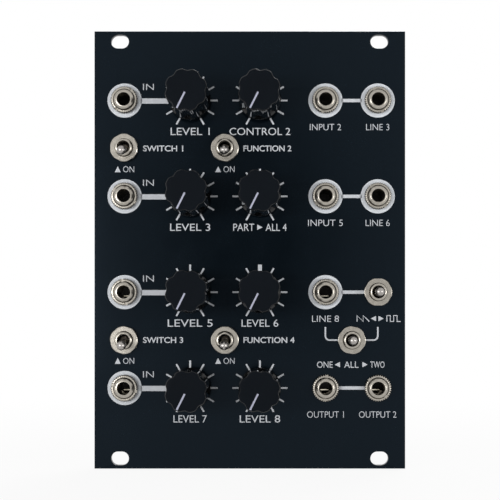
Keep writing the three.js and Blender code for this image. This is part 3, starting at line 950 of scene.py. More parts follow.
def socket_barrel():
    """The threaded barrel. Its lip is a narrow flat land between the bore and a wide chamfer."""
    lip = [(radius, barrel_tip - drop) for radius, drop in barrel_lip]
    return threaded(barrel_radius, body_rear + bore_floor, barrel_tip - barrel_chamfer, lip, bore_radius)


def socket_nut():
    """The knurled round nut with its key slots. Its wall away from the slots gets the second finish, with
    painted shade.
    """
    rear, front = panel_front + seat_gap, panel_front + seat_gap + nut_thickness
    inner = barrel_radius + nut_gap
    profile = [(inner, rear), (nut_radius - nut_edge, rear), (nut_radius, rear + nut_edge),
               (nut_radius, front - nut_chamfer), (nut_radius - 0.1, front - 0.15),
               (nut_radius - nut_chamfer, front), (inner + 0.15, front), (inner, front - 0.18)]
    ring = grown(knurl, mesh_of(turned(profile, 6 * knurl_count, closed=True)), Count=float(knurl_count),
                 Depth=knurl_depth, Outside=nut_radius - 0.18, Finish=nickel)
    half_key = key_width / 2
    slot = box((-half_key, -nut_radius - 1, front - key_depth), (half_key, nut_radius + 1, front + 1))
    ring = cut(ring, slot)
    for polygon in ring.polygons:
        x, y, _ = polygon.center
        outside = math.hypot(x, y) > nut_radius - 0.5 and abs(x) > half_key + 0.05
        polygon.material_index = 1 if outside and polygon.normal.z < 0.9 else 0
    return ring


def socket_spring():
    """The sprung contact. Its lip crosses the foot of the bore and shows as a thin bright line."""
    front = [[(x, side * spring_half, z) for side in (-1, 1)] for x, z in spring_path]
    back = [[(x - spring_thick, side * spring_half, z) for side in (1, -1)] for x, z in spring_path]
    strip = ringed([a + b for a, b in zip(front, back)])
    bmesh.ops.holes_fill(strip, edges=strip.edges)
    bmesh.ops.recalc_face_normals(strip, faces=strip.faces)
    return strip


# %% Sockets in place
key_turns = [-37.0, -13.0, 20.0, 60.0, -50.0, 35.0, 10.0, -25.0, 75.0, -5.0, 45.0]

for number, (spot, key_turn) in enumerate(zip(socket_spots, key_turns), 1):
    place, node = standing(spot.x, spot.z), f"socket_{number}"
    spring_place, nut_place = standing(spot.x, spot.z, 90), standing(spot.x, spot.z, key_turn)
    piece(f"{node}_housing", socket_housing(), place, "module", [housing_black], [node], 30)
    piece(f"{node}_barrel", socket_barrel(), place, "module", [nickel], smooth=50)
    piece(f"{node}_spring", mesh_of(socket_spring()), spring_place, "module", [spring_silver])
    # The nut's second finish paints shade into the grooves of its knurl.
    piece(f"socket_nut_{number}_ring", socket_nut(), nut_place, "module", [nickel, knurled],
          [f"socket_nut_{number}"], 35)
print(len(socket_spots), "sockets")

# %% [markdown]
# ## Toggle switches
#
# A small toggle switch has a moulded body in a steel strap, a threaded bushing, a hexagon nut with its
# corners turned down, and a bright lever on a ball. A nut's chamfer leaves a curved edge on each flat. A
# boolean with a cone would give it, but it follows from one rule: the wall stops where the cone is.

# %% Switch parts
switch_width, switch_length, switch_top, tail_room, tail_floor = 8.0, 12.6, -0.9, 2.4, -6.5
strap_thick, strap_inset, strap_under, strap_foot, strap_hole = 0.35, 1.2, -0.95, -7.6, 2.3
switch_tip, switch_foot, switch_bore, switch_flare = panel_front + 3.5, -1.2, 1.65, 0.25
hex_across, hex_corner, hex_thickness, hex_chamfer = 7.82, 4.04, 1.9, 0.2
pivot_height, lever_reach, lever_tip, lever_neck, lever_ball = 0.2, 8.6, 1.35, 0.75, 1.4
lever_tail, lever_tail_radius, lever_tilt = 4.4, 0.6, 11.5


def hexagon_nut(across, corner, bushing, thickness, chamfer, steps=16):
    """A hexagon nut whose turned corners and chamfer are worked out at every angle."""
    angles = [math.tau * k / (6 * steps) for k in range(6 * steps)]
    inner, rear = bushing + nut_gap, panel_front + seat_gap
    front, land, slope = rear + thickness, corner - chamfer, 0.55

    def wall(angle):
        off_flat = (angle % (math.pi / 3)) - math.pi / 6
        return min(across / 2 / math.cos(off_flat), corner)

    def ring(radius_at, height_at):
        return [(radius_at(a) * math.sin(a), radius_at(a) * math.cos(a), height_at(a)) for a in angles]

    drop = {a: max(0.0, (wall(a) - land) * slope) for a in angles}
    rings = [
        ring(lambda a: inner, lambda a: rear), ring(wall, lambda a: rear + 0.05),
        ring(wall, lambda a: front - drop[a]), ring(lambda a: min(land, wall(a)), lambda a: front),
        ring(lambda a: inner + 0.12, lambda a: front), ring(lambda a: inner, lambda a: front - 0.12),
    ]
    return ringed(rings, closed=True)


def switch_case():
    """The moulded body with room for the lever's tail."""
    half_x, half_y = switch_width / 2, switch_length / 2
    block = mesh_of(box((-half_x, -half_y, body_rear), (half_x, half_y, switch_top), 0.3))
    return cut(block, rod(tail_room, tail_floor, 1))


def switch_strap():
    """The steel frame: a plate under the panel with two arms down the body's long ends."""
    half_x, half_y, half_thick = switch_width / 2, switch_length / 2, strap_thick / 2
    deck = box((-half_x, -half_y - half_thick, strap_under), (half_x, half_y + half_thick, -seat_gap), 0.12)
    arm_half = half_x - strap_inset
    arms = [box((-arm_half, side * half_y - half_thick, strap_foot),
                (arm_half, side * half_y + half_thick, -0.5), 0.1) for side in (-1, 1)]
    return mesh_of(cut(mesh_of(deck), rod(strap_hole, -2, 1)), *arms)


def switch_bushing():
    """The threaded bushing, with a flared mouth for the lever."""
    lip = [(switch_bushing_radius - 0.3, switch_tip), (switch_bore + switch_flare, switch_tip),
           (switch_bore, switch_tip - 0.5)]
    return threaded(switch_bushing_radius, switch_foot, switch_tip - 0.3, lip, switch_bore,
                    pitch=0.6, depth=0.13)


def lever_shape():
    """The lever about its pivot: tail, ball, neck and a long drop-shaped tip."""
    tip_middle = lever_reach - lever_tip
    foot = -math.sqrt(lever_ball ** 2 - lever_tail_radius ** 2)
    profile = [(0, -lever_tail), (lever_tail_radius * 0.7, -lever_tail),
               (lever_tail_radius, -lever_tail + 0.3), (lever_tail_radius, foot)]
    low, high = math.asin(foot / lever_ball), math.acos(lever_neck / lever_ball)
    for k in range(1, 12):
        angle = low + (high - low) * k / 11
        profile.append((lever_ball * math.cos(angle), lever_ball * math.sin(angle)))
    start = lever_ball * math.sin(high)
    for k in range(1, 10):
        share = k / 9
        ease = share * share * (3 - 2 * share)
        radius = lever_neck + (lever_tip - lever_neck) * ease
        profile.append((radius, start + (tip_middle - start) * share))
    for k in range(1, 9):
        angle = math.pi / 2 * k / 8
        radius = lever_tip * math.cos(angle) if k < 8 else 0
        profile.append((radius, tip_middle + lever_tip * math.sin(angle)))
    return turned(profile, 40)


# %% Switches in place
switch_blue = finish("switch_blue", linear(30, 52, 96), 0.4, specular=0.4, grain=0.4, shade=0.12, bump=0.02)
chrome = turned_metal("chrome", linear(164, 160, 156), 0.28, depth=0.002, shade=0.03)
sideways_switches, nut_turns = (3, 6), [0.0, 22.0, 30.0, 12.0, 30.0, 20.0]

for number, (spot, nut_turn) in enumerate(zip(switch_spots, nut_turns), 1):
    sideways, node = number in sideways_switches, f"switch_{number}"
    place, nut_place = standing(spot.x, spot.z, 90 if sideways else 0), standing(spot.x, spot.z, nut_turn)
    piece(f"{node}_case", switch_case(), place, "module", [switch_blue], [node], 30)
    piece(f"{node}_strap", switch_strap(), place, "module", [steel], smooth=30)
    piece(f"{node}_bushing", switch_bushing(), place, "module", [nickel], smooth=50)
    nut = hexagon_nut(hex_across, hex_corner, switch_bushing_radius, hex_thickness, hex_chamfer)
    piece(f"switch_nut_{number}_hexagon", mesh_of(nut), nut_place, "module", [nickel],
          [f"switch_nut_{number}"], 22)
    rest, body = 0 if sideways else lever_tilt, f"lever_{number}"
    lever = moved(lever_shape(), z=panel_front + pivot_height, turn=rest, axis="X")
    piece(f"{body}_bat", mesh_of(lever), standing(spot.x, spot.z), body, [chrome], [body], 50)
print(len(switch_spots), "switches")

# %% [markdown]
# ## Potentiometers
#
# Each knob turns a small potentiometer: a folded metal cover over a moulded base, with a threaded
# bushing through the panel and three tags down to the board. Little of it shows, but from the side the
# gap behind the panel is full of them, so each has its cover, collar, bushing, nut and tags.

# %% Potentiometer parts
pot_width, pot_height, pot_depth, pot_drop, cover_foot, base_top = 9.8, 11.4, 6.8, 1.0, 1.6, 1.9
pot_collar, pot_tip, pot_foot, pot_bore = 4.4, panel_front + 3.0, -1.0, shaft_radius + 0.15
pot_nut_across, pot_nut_corner, pot_nut_thickness, pot_nut_chamfer = 10.0, 5.6, 2.0, 0.3
tag_half, tag_thick, tag_step, tag_out = 0.4, 0.3, 2.5, 0.6
tag_level, tag_top, tag_reach = -6.2, -6.0, -12.6
pot_face = body_rear + pot_depth


def pot_cover():
    """The folded cover, rounded at its corners, with a bore for the shaft."""
    half, high = pot_width / 2, pot_height / 2 - pot_drop
    low = high - pot_height
    shell = mesh_of(box((-half, low, body_rear + cover_foot), (half, high, pot_face), 0.6))
    return cut(shell, rod(pot_bore, shaft_end - 0.2, 1))


def pot_base():
    """The moulded base, a little smaller than its cover."""
    half, high = pot_width / 2 - 0.25, pot_height / 2 - pot_drop - 0.25
    low = high - pot_height + 0.5
    return mesh_of(box((-half, low, body_rear), (half, high, body_rear + base_top), 0.2))


def pot_tags():
    """Three tags that leave the cover's foot and go down through the board."""
    foot = -pot_height / 2 - pot_drop
    low = foot - tag_out
    shapes = []
    for x in (-tag_step, 0, tag_step):
        shapes.append(box((x - tag_half, low, tag_level), (x + tag_half, foot + 0.1, tag_level + tag_thick)))
        shapes.append(box((x - tag_half, low, tag_reach), (x + tag_half, low + tag_thick, tag_top)))
    return mesh_of(*shapes)


def pot_front():
    """The collar behind the panel and the threaded bushing through it."""
    collar = turned([(pot_bore, pot_face), (pot_collar, pot_face), (pot_collar, -seat_gap - 0.2),
                     (pot_collar - 0.2, -seat_gap), (pot_bore, -seat_gap)], 48, closed=True)
    lip = [(pot_bushing_radius - 0.3, pot_tip), (pot_bore, pot_tip)]
    tube = threaded(pot_bushing_radius, pot_foot, pot_tip - 0.3, lip, pot_bore, pitch=0.75, depth=0.15)
    return mesh_of(collar, tube)


# %% Potentiometers in place
moulding_brown = finish("moulding_brown", linear(58, 44, 34), 0.6, specular=0.3, grain=0.4, bump=0.02)
plate_metal = finish("plate_metal", linear(165, 166, 168), 0.32, metallic=1.0,
                     grain=0.5, shade=0.1, bump=0.01)
tinned = finish("tinned", linear(196, 196, 198), 0.3, metallic=1.0, grain=0.3, shade=0.1, bump=0.02)

for number, spot in enumerate(knob_spots, 1):
    place, node = standing(spot.x, spot.z), f"potentiometer_{number}"
    piece(f"{node}_cover", pot_cover(), place, "module", [plate_metal], [node], 30)
    piece(f"{node}_base", pot_base(), place, "module", [moulding_brown], smooth=30)
    piece(f"{node}_tags", pot_tags(), place, "module", [tinned], smooth=30)
    piece(f"{node}_bushing", pot_front(), place, "module", [nickel], smooth=50)
    nut = hexagon_nut(pot_nut_across, pot_nut_corner, pot_bushing_radius, pot_nut_thickness, pot_nut_chamfer)
    piece(f"{node}_nut", mesh_of(nut), place, "module", [nickel], smooth=35)
print(len(knob_spots), "potentiometers")

# %% [markdown]
# ## Circuit boards
#
# A board is glass fibre under a green lacquer, with copper tracks that show as paler green lines and a
# sandy cut edge. The main board carries the controls. The voice board stands off behind it on two pin
# strips. Both face away from the camera, so their parts are modelled in a frame that looks backwards.

# %% Board plates


def behind(x, up, depth, turn=0.0):
    """From a frame that looks out of a board's rear face to the world. Depth is the face's distance back."""
    facing = Matrix(((-1, 0, 0, x), (0, 0, 1, depth), (0, 1, 0, up), (0, 0, 0, 1)))
    return Matrix.Scale(MM, 4) @ facing @ Matrix.Rotation(math.radians(turn), 4, "Z")


def lacquer(name, colour):
    """Solder mask: a deep green under a clear gloss."""
    return finish(name, colour, 0.32, specular=0.5, grain=0.5, shade=0.12, bump=0.01, rough_shift=0.06)


def soldered(name, mesh, place, *finishes, smooth=30):
    """A piece that is part of a finished board."""
    piece(name, mesh, place, "module", list(finishes), smooth=smooth)


board_thickness, board_stacking = 1.6, 11.0
board_front = -body_rear + seat_gap
main_rear = board_front + board_thickness
voice_front = main_rear + board_stacking
voice_rear = voice_front + board_thickness
main_low, main_high = (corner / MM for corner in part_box("main_board"))
voice_low, voice_high = (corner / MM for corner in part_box("voice_board"))
mask_green = lacquer("mask_green", linear(16, 66, 44))
track_green = lacquer("track_green", linear(26, 92, 58))
glass_edge = finish("glass_edge", linear(150, 138, 92), 0.7, specular=0.2, grain=0.3, bump=0.03)
corner_radius = 1.5


def board(low, high, front, rear):
    """A board with round corners. Its cut edge gets the second finish."""
    middle_x, middle_z = (low.x + high.x) / 2, (low.z + high.z) / 2
    reach_x, reach_z = (high.x - low.x) / 2 - corner_radius, (high.z - low.z) / 2 - corner_radius
    outline = []
    for k, (side_x, side_z) in enumerate(((1, 1), (1, -1), (-1, -1), (-1, 1))):
        for step in range(7):
            angle = math.radians(90 * k + 15 * step)
            outline.append((middle_x + side_x * reach_x + corner_radius * math.sin(angle),
                            middle_z + side_z * reach_z + corner_radius * math.cos(angle)))
    mesh = mesh_of(punched(outline, -rear, -front))
    for polygon in mesh.polygons:
        polygon.material_index = 0 if abs(polygon.normal.z) > 0.9 else 1
    return mesh


boards = [("main_board", main_low, main_high, board_front, main_rear),
          ("voice_board", voice_low, voice_high, voice_front, voice_rear)]
for name, low, high, front, rear in boards:
    piece(f"{name}_plate", board(low, high, front, rear), standing(0, 0), "module",
          [mask_green, glass_edge], [name], 30)
print("main board", round(board_front, 2), "to", round(main_rear, 2), "mm back, voice board",
      round(voice_front, 2), "to", round(voice_rear, 2))

# %% [markdown]
# ## Solder joints
#
# Every tag and pin that comes through a board ends in a small bright cone of solder on a round pad.
# There are hundreds of them, so the cone has only a few faces, and one tree sets it on every point of a
# mesh, each a little larger or smaller, from a fixed seed. The same tree sets the pins of a strip and the
# legs of a chip, all alike.

# %% A tree that sets a shape on points


def tree_scatter():
    """The given shape on every point, turned by Turn degrees and larger or smaller by up to Vary."""
    tree, given = new_tree("scatter", Shape=SHAPE, Turn=FLOAT, Vary=FLOAT, Seed=COUNT, Finish=FINISH)
    shape = add(tree, "GeometryNodeObjectInfo", {"Object": given["Shape"]}).outputs["Geometry"]
    turn = add(tree, "ShaderNodeCombineXYZ", {2: maths(tree, "RADIANS", given["Turn"])}).outputs[0]
    rotation = add(tree, "FunctionNodeEulerToRotation", {0: turn}).outputs[0]
    spread = add(tree, "FunctionNodeRandomValue", {2: -1.0, 3: 1.0, "Seed": given["Seed"]}).outputs[1]
    size = maths(tree, "MULTIPLY_ADD", spread, given["Vary"], 1.0)
    inputs = {"Points": given["Geometry"], "Instance": shape, "Rotation": rotation, "Scale": size}
    copies = add(tree, "GeometryNodeInstanceOnPoints", inputs).outputs[0]
    end_tree(tree, copies, given["Finish"])
    return tree


scatter = tree_scatter()


def scattered(shape, points, material, turn=0.0, vary=0.0, seed=1):
    """A shape set on (x, y, z) points, as a plain mesh."""
    cloud = bpy.data.meshes.new("points")
    cloud.from_pydata(points, [], [])
    holder = held(mesh_of(shape))
    result = grown(scatter, cloud, Shape=holder, Turn=turn, Vary=vary, Seed=seed, Finish=material)
    bpy.data.objects.remove(holder)
    return result


# %% Where the pins come through
tag_hole_drop, switch_pin_step = 0.45, 4.7
socket_pin_places = [(-3.6, 2.6), (3.6, 2.6), (0.0, -4.9)]
pin_pitch, strip_thickness, strip_share, strip_inset = 2.54, 2.5, 0.7, 3.0
voice_width, voice_height = voice_high.x - voice_low.x, voice_high.z - voice_low.z
main_width, main_height = main_high.x - main_low.x, main_high.z - main_low.z
voice_middle_z, main_middle_z = (voice_low.z + voice_high.z) / 2, (main_low.z + main_high.z) / 2
strip_pins = int(strip_share * voice_height / pin_pitch)
strip_xs = [side * (voice_width / 2 - strip_inset) for side in (-1, 1)]
strip_zs = [voice_middle_z + (k - (strip_pins - 1) / 2) * pin_pitch for k in range(strip_pins)]

pot_pins, socket_pins, switch_pins = [], [], []
for spot in knob_spots:
    foot = -pot_height / 2 - pot_drop - tag_hole_drop
    pot_pins += [(spot.x + k * tag_step, spot.z + foot) for k in (-1, 0, 1)]
for spot in socket_spots:
    socket_pins += [(spot.x + x, spot.z + y) for x, y in socket_pin_places]
for number, spot in enumerate(switch_spots, 1):
    for along in (-switch_pin_step, 0, switch_pin_step):
        sideways = number in sideways_switches
        switch_pins.append((spot.x + along, spot.z, True) if sideways else (spot.x, spot.z + along, False))
control_pins = pot_pins + socket_pins + [(x, z) for x, z, _ in switch_pins]
print(len(control_pins), "control pins and", 2 * strip_pins, "strip pins")

# %% Joints on the main board, and the controls' own pins
solder_cone = [(0.85, 0.0), (0.8, 0.05), (0.62, 0.12), (0.36, 0.5), (0.3, 0.85), (0, 0.95)]
cone_sides, cone_vary = 8, 0.12
socket_pin_half, socket_pin_out = (0.45, 0.15), 0.7
switch_pin_half, switch_pin_out = (0.6, 0.3), 0.8


def joints(points, side, seed):
    """A joint on every point. It rises to the front for side 1 and to the rear for side -1."""
    cone = turned([(radius, side * height) for radius, height in solder_cone], cone_sides)
    return scattered(cone, points, tinned, vary=cone_vary, seed=seed)


def flat_pin(x, y, half_x, half_y, out):
    """A flat pin from a control's rear through the main board, and a little out of it."""
    return box((x - half_x, y - half_y, -main_rear - out), (x + half_x, y + half_y, body_rear + 0.2))


rear_joints = joints([(x, z, -main_rear) for x, z in control_pins], -1, seed=4)
front_joints = joints([(x, z, -board_front) for x in strip_xs for z in strip_zs], 1, seed=6)
soldered("main_board_joints", mesh_of(rear_joints, front_joints), standing(0, 0), tinned, smooth=40)
pins = [flat_pin(x, z, *socket_pin_half, socket_pin_out) for x, z in socket_pins]
piece("socket_pins", mesh_of(*pins), standing(0, 0), "module", [tinned], smooth=30)
pins = []
for x, z, sideways in switch_pins:
    half_x, half_y = switch_pin_half[::-1] if sideways else switch_pin_half
    pins.append(flat_pin(x, z, half_x, half_y, switch_pin_out))
piece("switch_pins", mesh_of(*pins), standing(0, 0), "module", [tinned], smooth=30)
print(len(socket_pins), "socket pins and", len(switch_pins), "switch pins")

# %% [markdown]
# ## Chips, cans and other parts
#
# A chip is a moulded block on two rows of bent legs. A can is a round capacitor in a printed sleeve with
# a scored metal top. Film capacitors are small dipped bricks, and a trimmer is a square block with a
# screw. They are stood at the CAD part's own places, given as shares of their board.

# %% Places on the boards
large_chips = [(-0.2, 0.33), (0.18, 0.33), (-0.2, -0.04)]
small_chips = [(0.11, -0.04), (0.31, -0.04), (0.11, -0.36)]
cans = [(-0.36, 0.13), (-0.24, 0.13), (0.36, 0.15), (-0.34, -0.38), (-0.22, -0.38)]
films = [(-0.08, 0.16), (0.06, 0.16), (0.2, 0.16), (-0.05, -0.22), (-0.25, -0.22)]
trimmers = [(0.31, -0.36), (0.31, -0.2), (0.11, -0.2)]
supply_cans, supply_chip = [(-0.2, -0.36), (-0.3, -0.36)], (0.27, -0.36)


def on_voice(across, up):
    """A place on the voice board's rear face, from shares of its size."""
    return across * voice_width, voice_middle_z + up * voice_height, voice_rear


def on_main(across, up):
    """The same on the main board."""
    return across * main_width, main_middle_z + up * main_height, main_rear


# %% Chips
chip_width, chip_height, chip_lift, small_chip, large_chip = 6.4, 3.4, 0.5, 9.6, 19.3
notch_radius, notch_depth, dimple_radius, dimple_depth, dimple_inset = 1.1, 0.35, 0.55, 0.12, 1.4
leg_row, leg_in, leg_out = chip_width / 2 + 0.42, chip_width / 2 + 0.3, chip_width / 2 + 0.55
leg_half, leg_shoulder, leg_foot, tip_half, tip_end, chip_ends = 0.7, 2.05, 0.5, 0.25, -2.6, 1.8
chip_black = finish("chip_black", linear(26, 26, 28), 0.55, specular=0.35, grain=0.2, shade=0.15, bump=0.02)


def chip_body(length):
    """The moulded block, with a half-round notch at one end and a dimple by its first pin."""
    half = length / 2
    block = mesh_of(box((-half, -chip_width / 2, chip_lift), (half, chip_width / 2, chip_height), 0.18))
    notch = moved(rod(notch_radius, chip_height - notch_depth, 5, 24), x=-half)
    dimple = moved(rod(dimple_radius, chip_height - dimple_depth, 5, 20),
                   x=-half + dimple_inset, y=-chip_width / 2 + dimple_inset)
    return cut(block, notch, dimple)


def leg_places(length):
    """Where the legs of one row stand along a chip."""
    count = round((length - chip_ends) / pin_pitch) + 1
    return [(k - (count - 1) / 2) * pin_pitch for k in range(count)]


def chip_legs(length):
    """Two rows of legs: a shoulder out of the body, a blade down to the board and a tip through it."""
    points = [(along, 0, 0) for along in leg_places(length)]
    leg = mesh_of(box((-leg_half, chip_width / 2 - 0.1, 1.8), (leg_half, leg_out, leg_shoulder)),
                  box((-leg_half, leg_in, leg_foot), (leg_half, leg_out, 1.9)),
                  box((-tip_half, leg_in, tip_end), (tip_half, leg_out, 0.6)))
    shape = bmesh.new()
    shape.from_mesh(leg)
    other = moved(shape.copy(), turn=180)
    return mesh_of(scattered(shape, points, tinned), scattered(other, points, tinned))


voice_joint_points = [(x, z, -voice_front) for x in strip_xs for z in strip_zs]
voice_chips = [(share, large_chip) for share in large_chips] + [(share, small_chip) for share in small_chips]
chip_places = [(f"voice_chip_{k}", on_voice(*share), length)
               for k, (share, length) in enumerate(voice_chips, 1)]
chip_places.append(("supply_chip", on_main(*supply_chip), small_chip))
for name, (x, up, depth), length in chip_places:
    place = behind(x, up, depth)
    soldered(name, chip_body(length), place, chip_black)
    soldered(f"{name}_legs", chip_legs(length), place, tinned)
    if depth == voice_rear:
        voice_joint_points += [(x + along, up + side * leg_row, -voice_front)
                               for along in leg_places(length) for side in (-1, 1)]
print(len(chip_places), "chips and", len(voice_joint_points), "joints on the voice board's front")

# %% Cans, films and trimmers
can_radius, can_height, score_reach, score_half, stripe_half = 3.1, 7.0, 1.9, 0.12, 0.42
film_length, film_width, film_height, film_lift, film_round = 7.2, 2.6, 6.5, 0.4, 0.55
trimmer_side, trimmer_height, trimmer_well, screw_radius = 6.6, 4.8, 2.3, 2.1
sleeve_dark = finish("sleeve_dark", linear(24, 26, 34), 0.4, specular=0.4, grain=0.4, bump=0.01)
sleeve_pale = finish("sleeve_pale", linear(170, 172, 178), 0.45, specular=0.3, grain=0.4, bump=0.01)
film_red = finish("film_red", linear(138, 42, 30), 0.35, specular=0.5, grain=0.5, shade=0.12, bump=0.02)
trimmer_blue = finish("trimmer_blue", linear(34, 72, 132), 0.4, specular=0.4, grain=0.4, bump=0.02)
brass = turned_metal("brass", linear(196, 160, 92), 0.25)


def can_mesh():
    """A sleeve with a waist near its foot, a pale stripe, and a metal top scored with a cross."""
    profile = [(0, 0.05), (can_radius - 0.15, 0.05), (can_radius, 0.3), (can_radius, 0.9),
               (can_radius - 0.25, 1.2), (can_radius, 1.5), (can_radius, can_height - 0.5),
               (can_radius - 0.12, can_height - 0.15), (can_radius - 0.45, can_height),
               (can_radius - 0.55, can_height - 0.12), (0, can_height - 0.12)]
    low, high = can_height - 0.3, can_height + 1
    scores = [moved(box((-score_reach, -score_half, low), (score_reach, score_half, high)), turn=turn)
              for turn in (0, 90)]
    body = cut(mesh_of(turned(profile, 48)), *scores)
    for polygon in body.polygons:
        x, y, z = polygon.center
        on_top = z > can_height - 0.35 and math.hypot(x, y) < can_radius - 0.45
        on_stripe = abs(math.atan2(x, y)) < stripe_half
        polygon.material_index = 2 if on_top else int(on_stripe)
    return body


def film_mesh():
    """A dipped brick with soft corners, a little off the board."""
    half_x, half_y = film_length / 2, film_width / 2
    block = box((-half_x, -half_y, film_lift), (half_x, half_y, film_height))
    return mesh_of(rounded(block, film_round, 4))


def trimmer_mesh():
    """A square block with a round well for its screw."""
    half = trimmer_side / 2
    block = mesh_of(box((-half, -half, 0), (half, half, trimmer_height), 0.25))
    return cut(block, rod(trimmer_well, trimmer_height - 0.5, 9))


def trimmer_screw():
    """The screw in the well, with a slot across it."""
    low, edge, high = trimmer_height - 0.6, trimmer_height - 0.25, trimmer_height - 0.1
    head = [(0, low), (screw_radius, low), (screw_radius, edge), (screw_radius - 0.15, high), (0, high)]
    return cut(mesh_of(turned(head, 32)), box((-2.5, -0.3, trimmer_height - 0.45), (2.5, 0.3, 9)))


can_places = [(f"voice_can_{k}", on_voice(*share)) for k, share in enumerate(cans, 1)]
can_places += [(f"supply_can_{k}", on_main(*share)) for k, share in enumerate(supply_cans, 1)]
for k, (name, spot) in enumerate(can_places):
    soldered(name, can_mesh(), behind(*spot, 90 * k), sleeve_dark, sleeve_pale, plate_metal, smooth=35)
for k, share in enumerate(films, 1):
    soldered(f"voice_film_{k}", film_mesh(), behind(*on_voice(*share)), film_red, smooth=40)
for k, share in enumerate(trimmers, 1):
    soldered(f"voice_trimmer_{k}", trimmer_mesh(), behind(*on_voice(*share)), trimmer_blue)
    soldered(f"voice_trimmer_{k}_screw", trimmer_screw(), behind(*on_voice(*share), 35 * k), brass)
print(len(can_places), "cans,", len(films), "films and", len(trimmers), "trimmers")

# %% [markdown]
# ## Pin strips and the power header
#
# The voice board plugs into the main board with two long strips: a row of small moulded blocks, one for
# each pin. The power header is an open box with a notch for the plug's key, and ten square pins in it.
# Both are rows of one shape at a pitch of 2.54 mm.

# %% Pin strips
gold = finish("gold", linear(214, 178, 104), 0.25, metallic=1.0, grain=0.3, shade=0.06, bump=0.01)
strip_seam, pin_half = 0.06, 0.32
strip_half, unit_half = strip_thickness / 2, pin_pitch / 2 - strip_seam / 2
female_height = board_stacking - 2.6
male_top = -female_height - 0.1
pin_low, pin_high = -board_stacking - board_thickness - 1.0, board_thickness + 0.7

for name, x in zip(("left", "right"), strip_xs):
    points = [(x, z, -main_rear) for z in strip_zs]
    female = box((-strip_half, -unit_half, -female_height), (strip_half, unit_half, 0), 0.15)
    male = box((-strip_half, -unit_half, -board_stacking), (strip_half, unit_half, male_top), 0.15)
    blocks = mesh_of(scattered(female, points, housing_black), scattered(male, points, housing_black))
    piece(f"strip_{name}", blocks, standing(0, 0), "module", [housing_black], smooth=30)
    pin = box((-pin_half, -pin_half, pin_low), (pin_half, pin_half, pin_high), 0.05)
    pins = scattered(pin, points, gold)
    piece(f"strip_{name}_pins", pins, standing(0, 0), "module", [gold], smooth=30)

front_joints = joints(voice_joint_points, 1, seed=8)
rear_joints = joints([(x, z, -voice_rear) for x in strip_xs for z in strip_zs], -1, seed=10)
soldered("voice_board_joints", mesh_of(front_joints, rear_joints), standing(0, 0), tinned, smooth=40)
print(2 * strip_pins, "strip pins")

# %% Power header
header_wall, header_floor, header_notch, header_depth, beyond = 1.2, 2.0, 4.5, 9.0, 20
header_low, header_high = (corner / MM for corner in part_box("power_header"))
header_middle = (header_low + header_high) / 2
header_place = behind(header_middle.x, header_middle.z, header_low.y)
half_x, half_y = (header_high.x - header_low.x) / 2, (header_high.z - header_low.z) / 2
in_x, in_y = half_x - header_wall, half_y - header_wall

shell = mesh_of(box((-half_x, -half_y, 0), (half_x, half_y, header_depth), 0.2))
mouth = box((-in_x, -in_y, header_floor), (in_x, in_y, beyond))
key = box((-header_notch / 2, 0, header_floor), (header_notch / 2, beyond, beyond))
piece("power_header_box", cut(shell, mouth, key), header_place, "module", [housing_black],
      ["power_header"], 30)
points = [((col - 2) * pin_pitch, (row - 0.5) * pin_pitch, 0) for col in range(5) for row in range(2)]
pin = box((-pin_half, -pin_half, -board_thickness - 1.0), (pin_half, pin_half, header_depth - 1.4), 0.08)
pins = scattered(pin, points, gold)
piece("power_header_pins", pins, header_place, "module", [gold], smooth=30)
print("power header", round(2 * half_x, 1), "by", round(2 * half_y, 1), "mm with", len(points), "pins")

# %% [markdown]
# ## Tracks and small parts
#
# Tracks leave a chip in bundles that keep their spacing and bend by 45 degrees. The line tree that
# printed the panel's bars makes them too, as thin ridges under the lacquer. The smallest resistors and
# capacitors are bricks with tinned ends, set in rows beside the chips.

# %% Bundles of tracks
track_width, track_rise, track_pitch, bend_shift = 0.35, 0.05, 1.0, 0.414


def bundle(start_x, start_y, count, first_run, slant, last_run, heading):
    """Parallel tracks: a run across, a slant of 45 degrees and a run up or down. Each bends sooner."""
    paths = []
    for k in range(count):
        y = start_y + k * track_pitch
        corner = start_x + first_run - heading * (k * track_pitch * bend_shift)
        paths.append([(start_x, y), (corner, y), (corner + slant, y + heading * slant),
                      (corner + slant, y + heading * (slant + last_run))])
    return paths


def tracks(name, height, bundles):
    """A board's bundles as low ridges on its rear face."""
    paths = [path for given in bundles for path in bundle(*given)]
    flat = path_mesh(*paths)
    for vertex in flat.vertices:
        vertex.co.z = -height
    mesh = grown(line, flat, Width=track_width, Thickness=2 * track_rise, Corner=0.0, Finish=track_green)
    soldered(name, mesh, standing(0, 0), track_green, smooth=40)
    return len(paths)


main_bundles = [(-40.0, 26.0, 5, 12.0, 4.0, 10.0, 1), (-16.0, 30.0, 6, 18.0, 5.0, 9.0, 1),
                (14.0, 28.0, 5, 10.0, 4.0, 12.0, 1), (30.0, 44.0, 4, 6.0, 3.0, 30.0, 1),
                (-42.0, 60.0, 4, 3.0, 2.0, 30.0, 1), (-42.0, 110.0, 3, 20.0, -2.0, 0.5, -1)]
voice_bundles = [(-30.0, 54.0, 5, 9.0, 4.0, 7.0, 1), (-8.0, 62.0, 5, 8.0, 3.0, 4.0, 1),
                 (14.0, 86.5, 4, 10.0, 3.0, 5.0, 1), (-24.0, 84.0, 4, 12.0, 3.0, 6.0, 1),
                 (4.0, 92.0, 3, 9.0, 2.0, 3.0, 1)]
total = tracks("main_board_tracks", main_rear, main_bundles)
total += tracks("voice_board_tracks", voice_rear, voice_bundles)
print(total, "tracks")

# %% Rows of small parts
brick_long, brick_wide, brick_high, brick_end = 2.0, 1.25, 0.55, 0.4
voice_rows = [(-24.0, 73.0, 9, 3.2), (6.0, 73.2, 7, 3.2), (-30.0, 103.0, 8, 3.4), (10.0, 103.4, 6, 3.4),
              (-26.0, 62.0, 5, 3.2)]
main_rows = [(-34.0, 42.0, 8, 3.4), (8.0, 43.0, 9, 3.4), (-12.0, 36.0, 7, 3.4)]


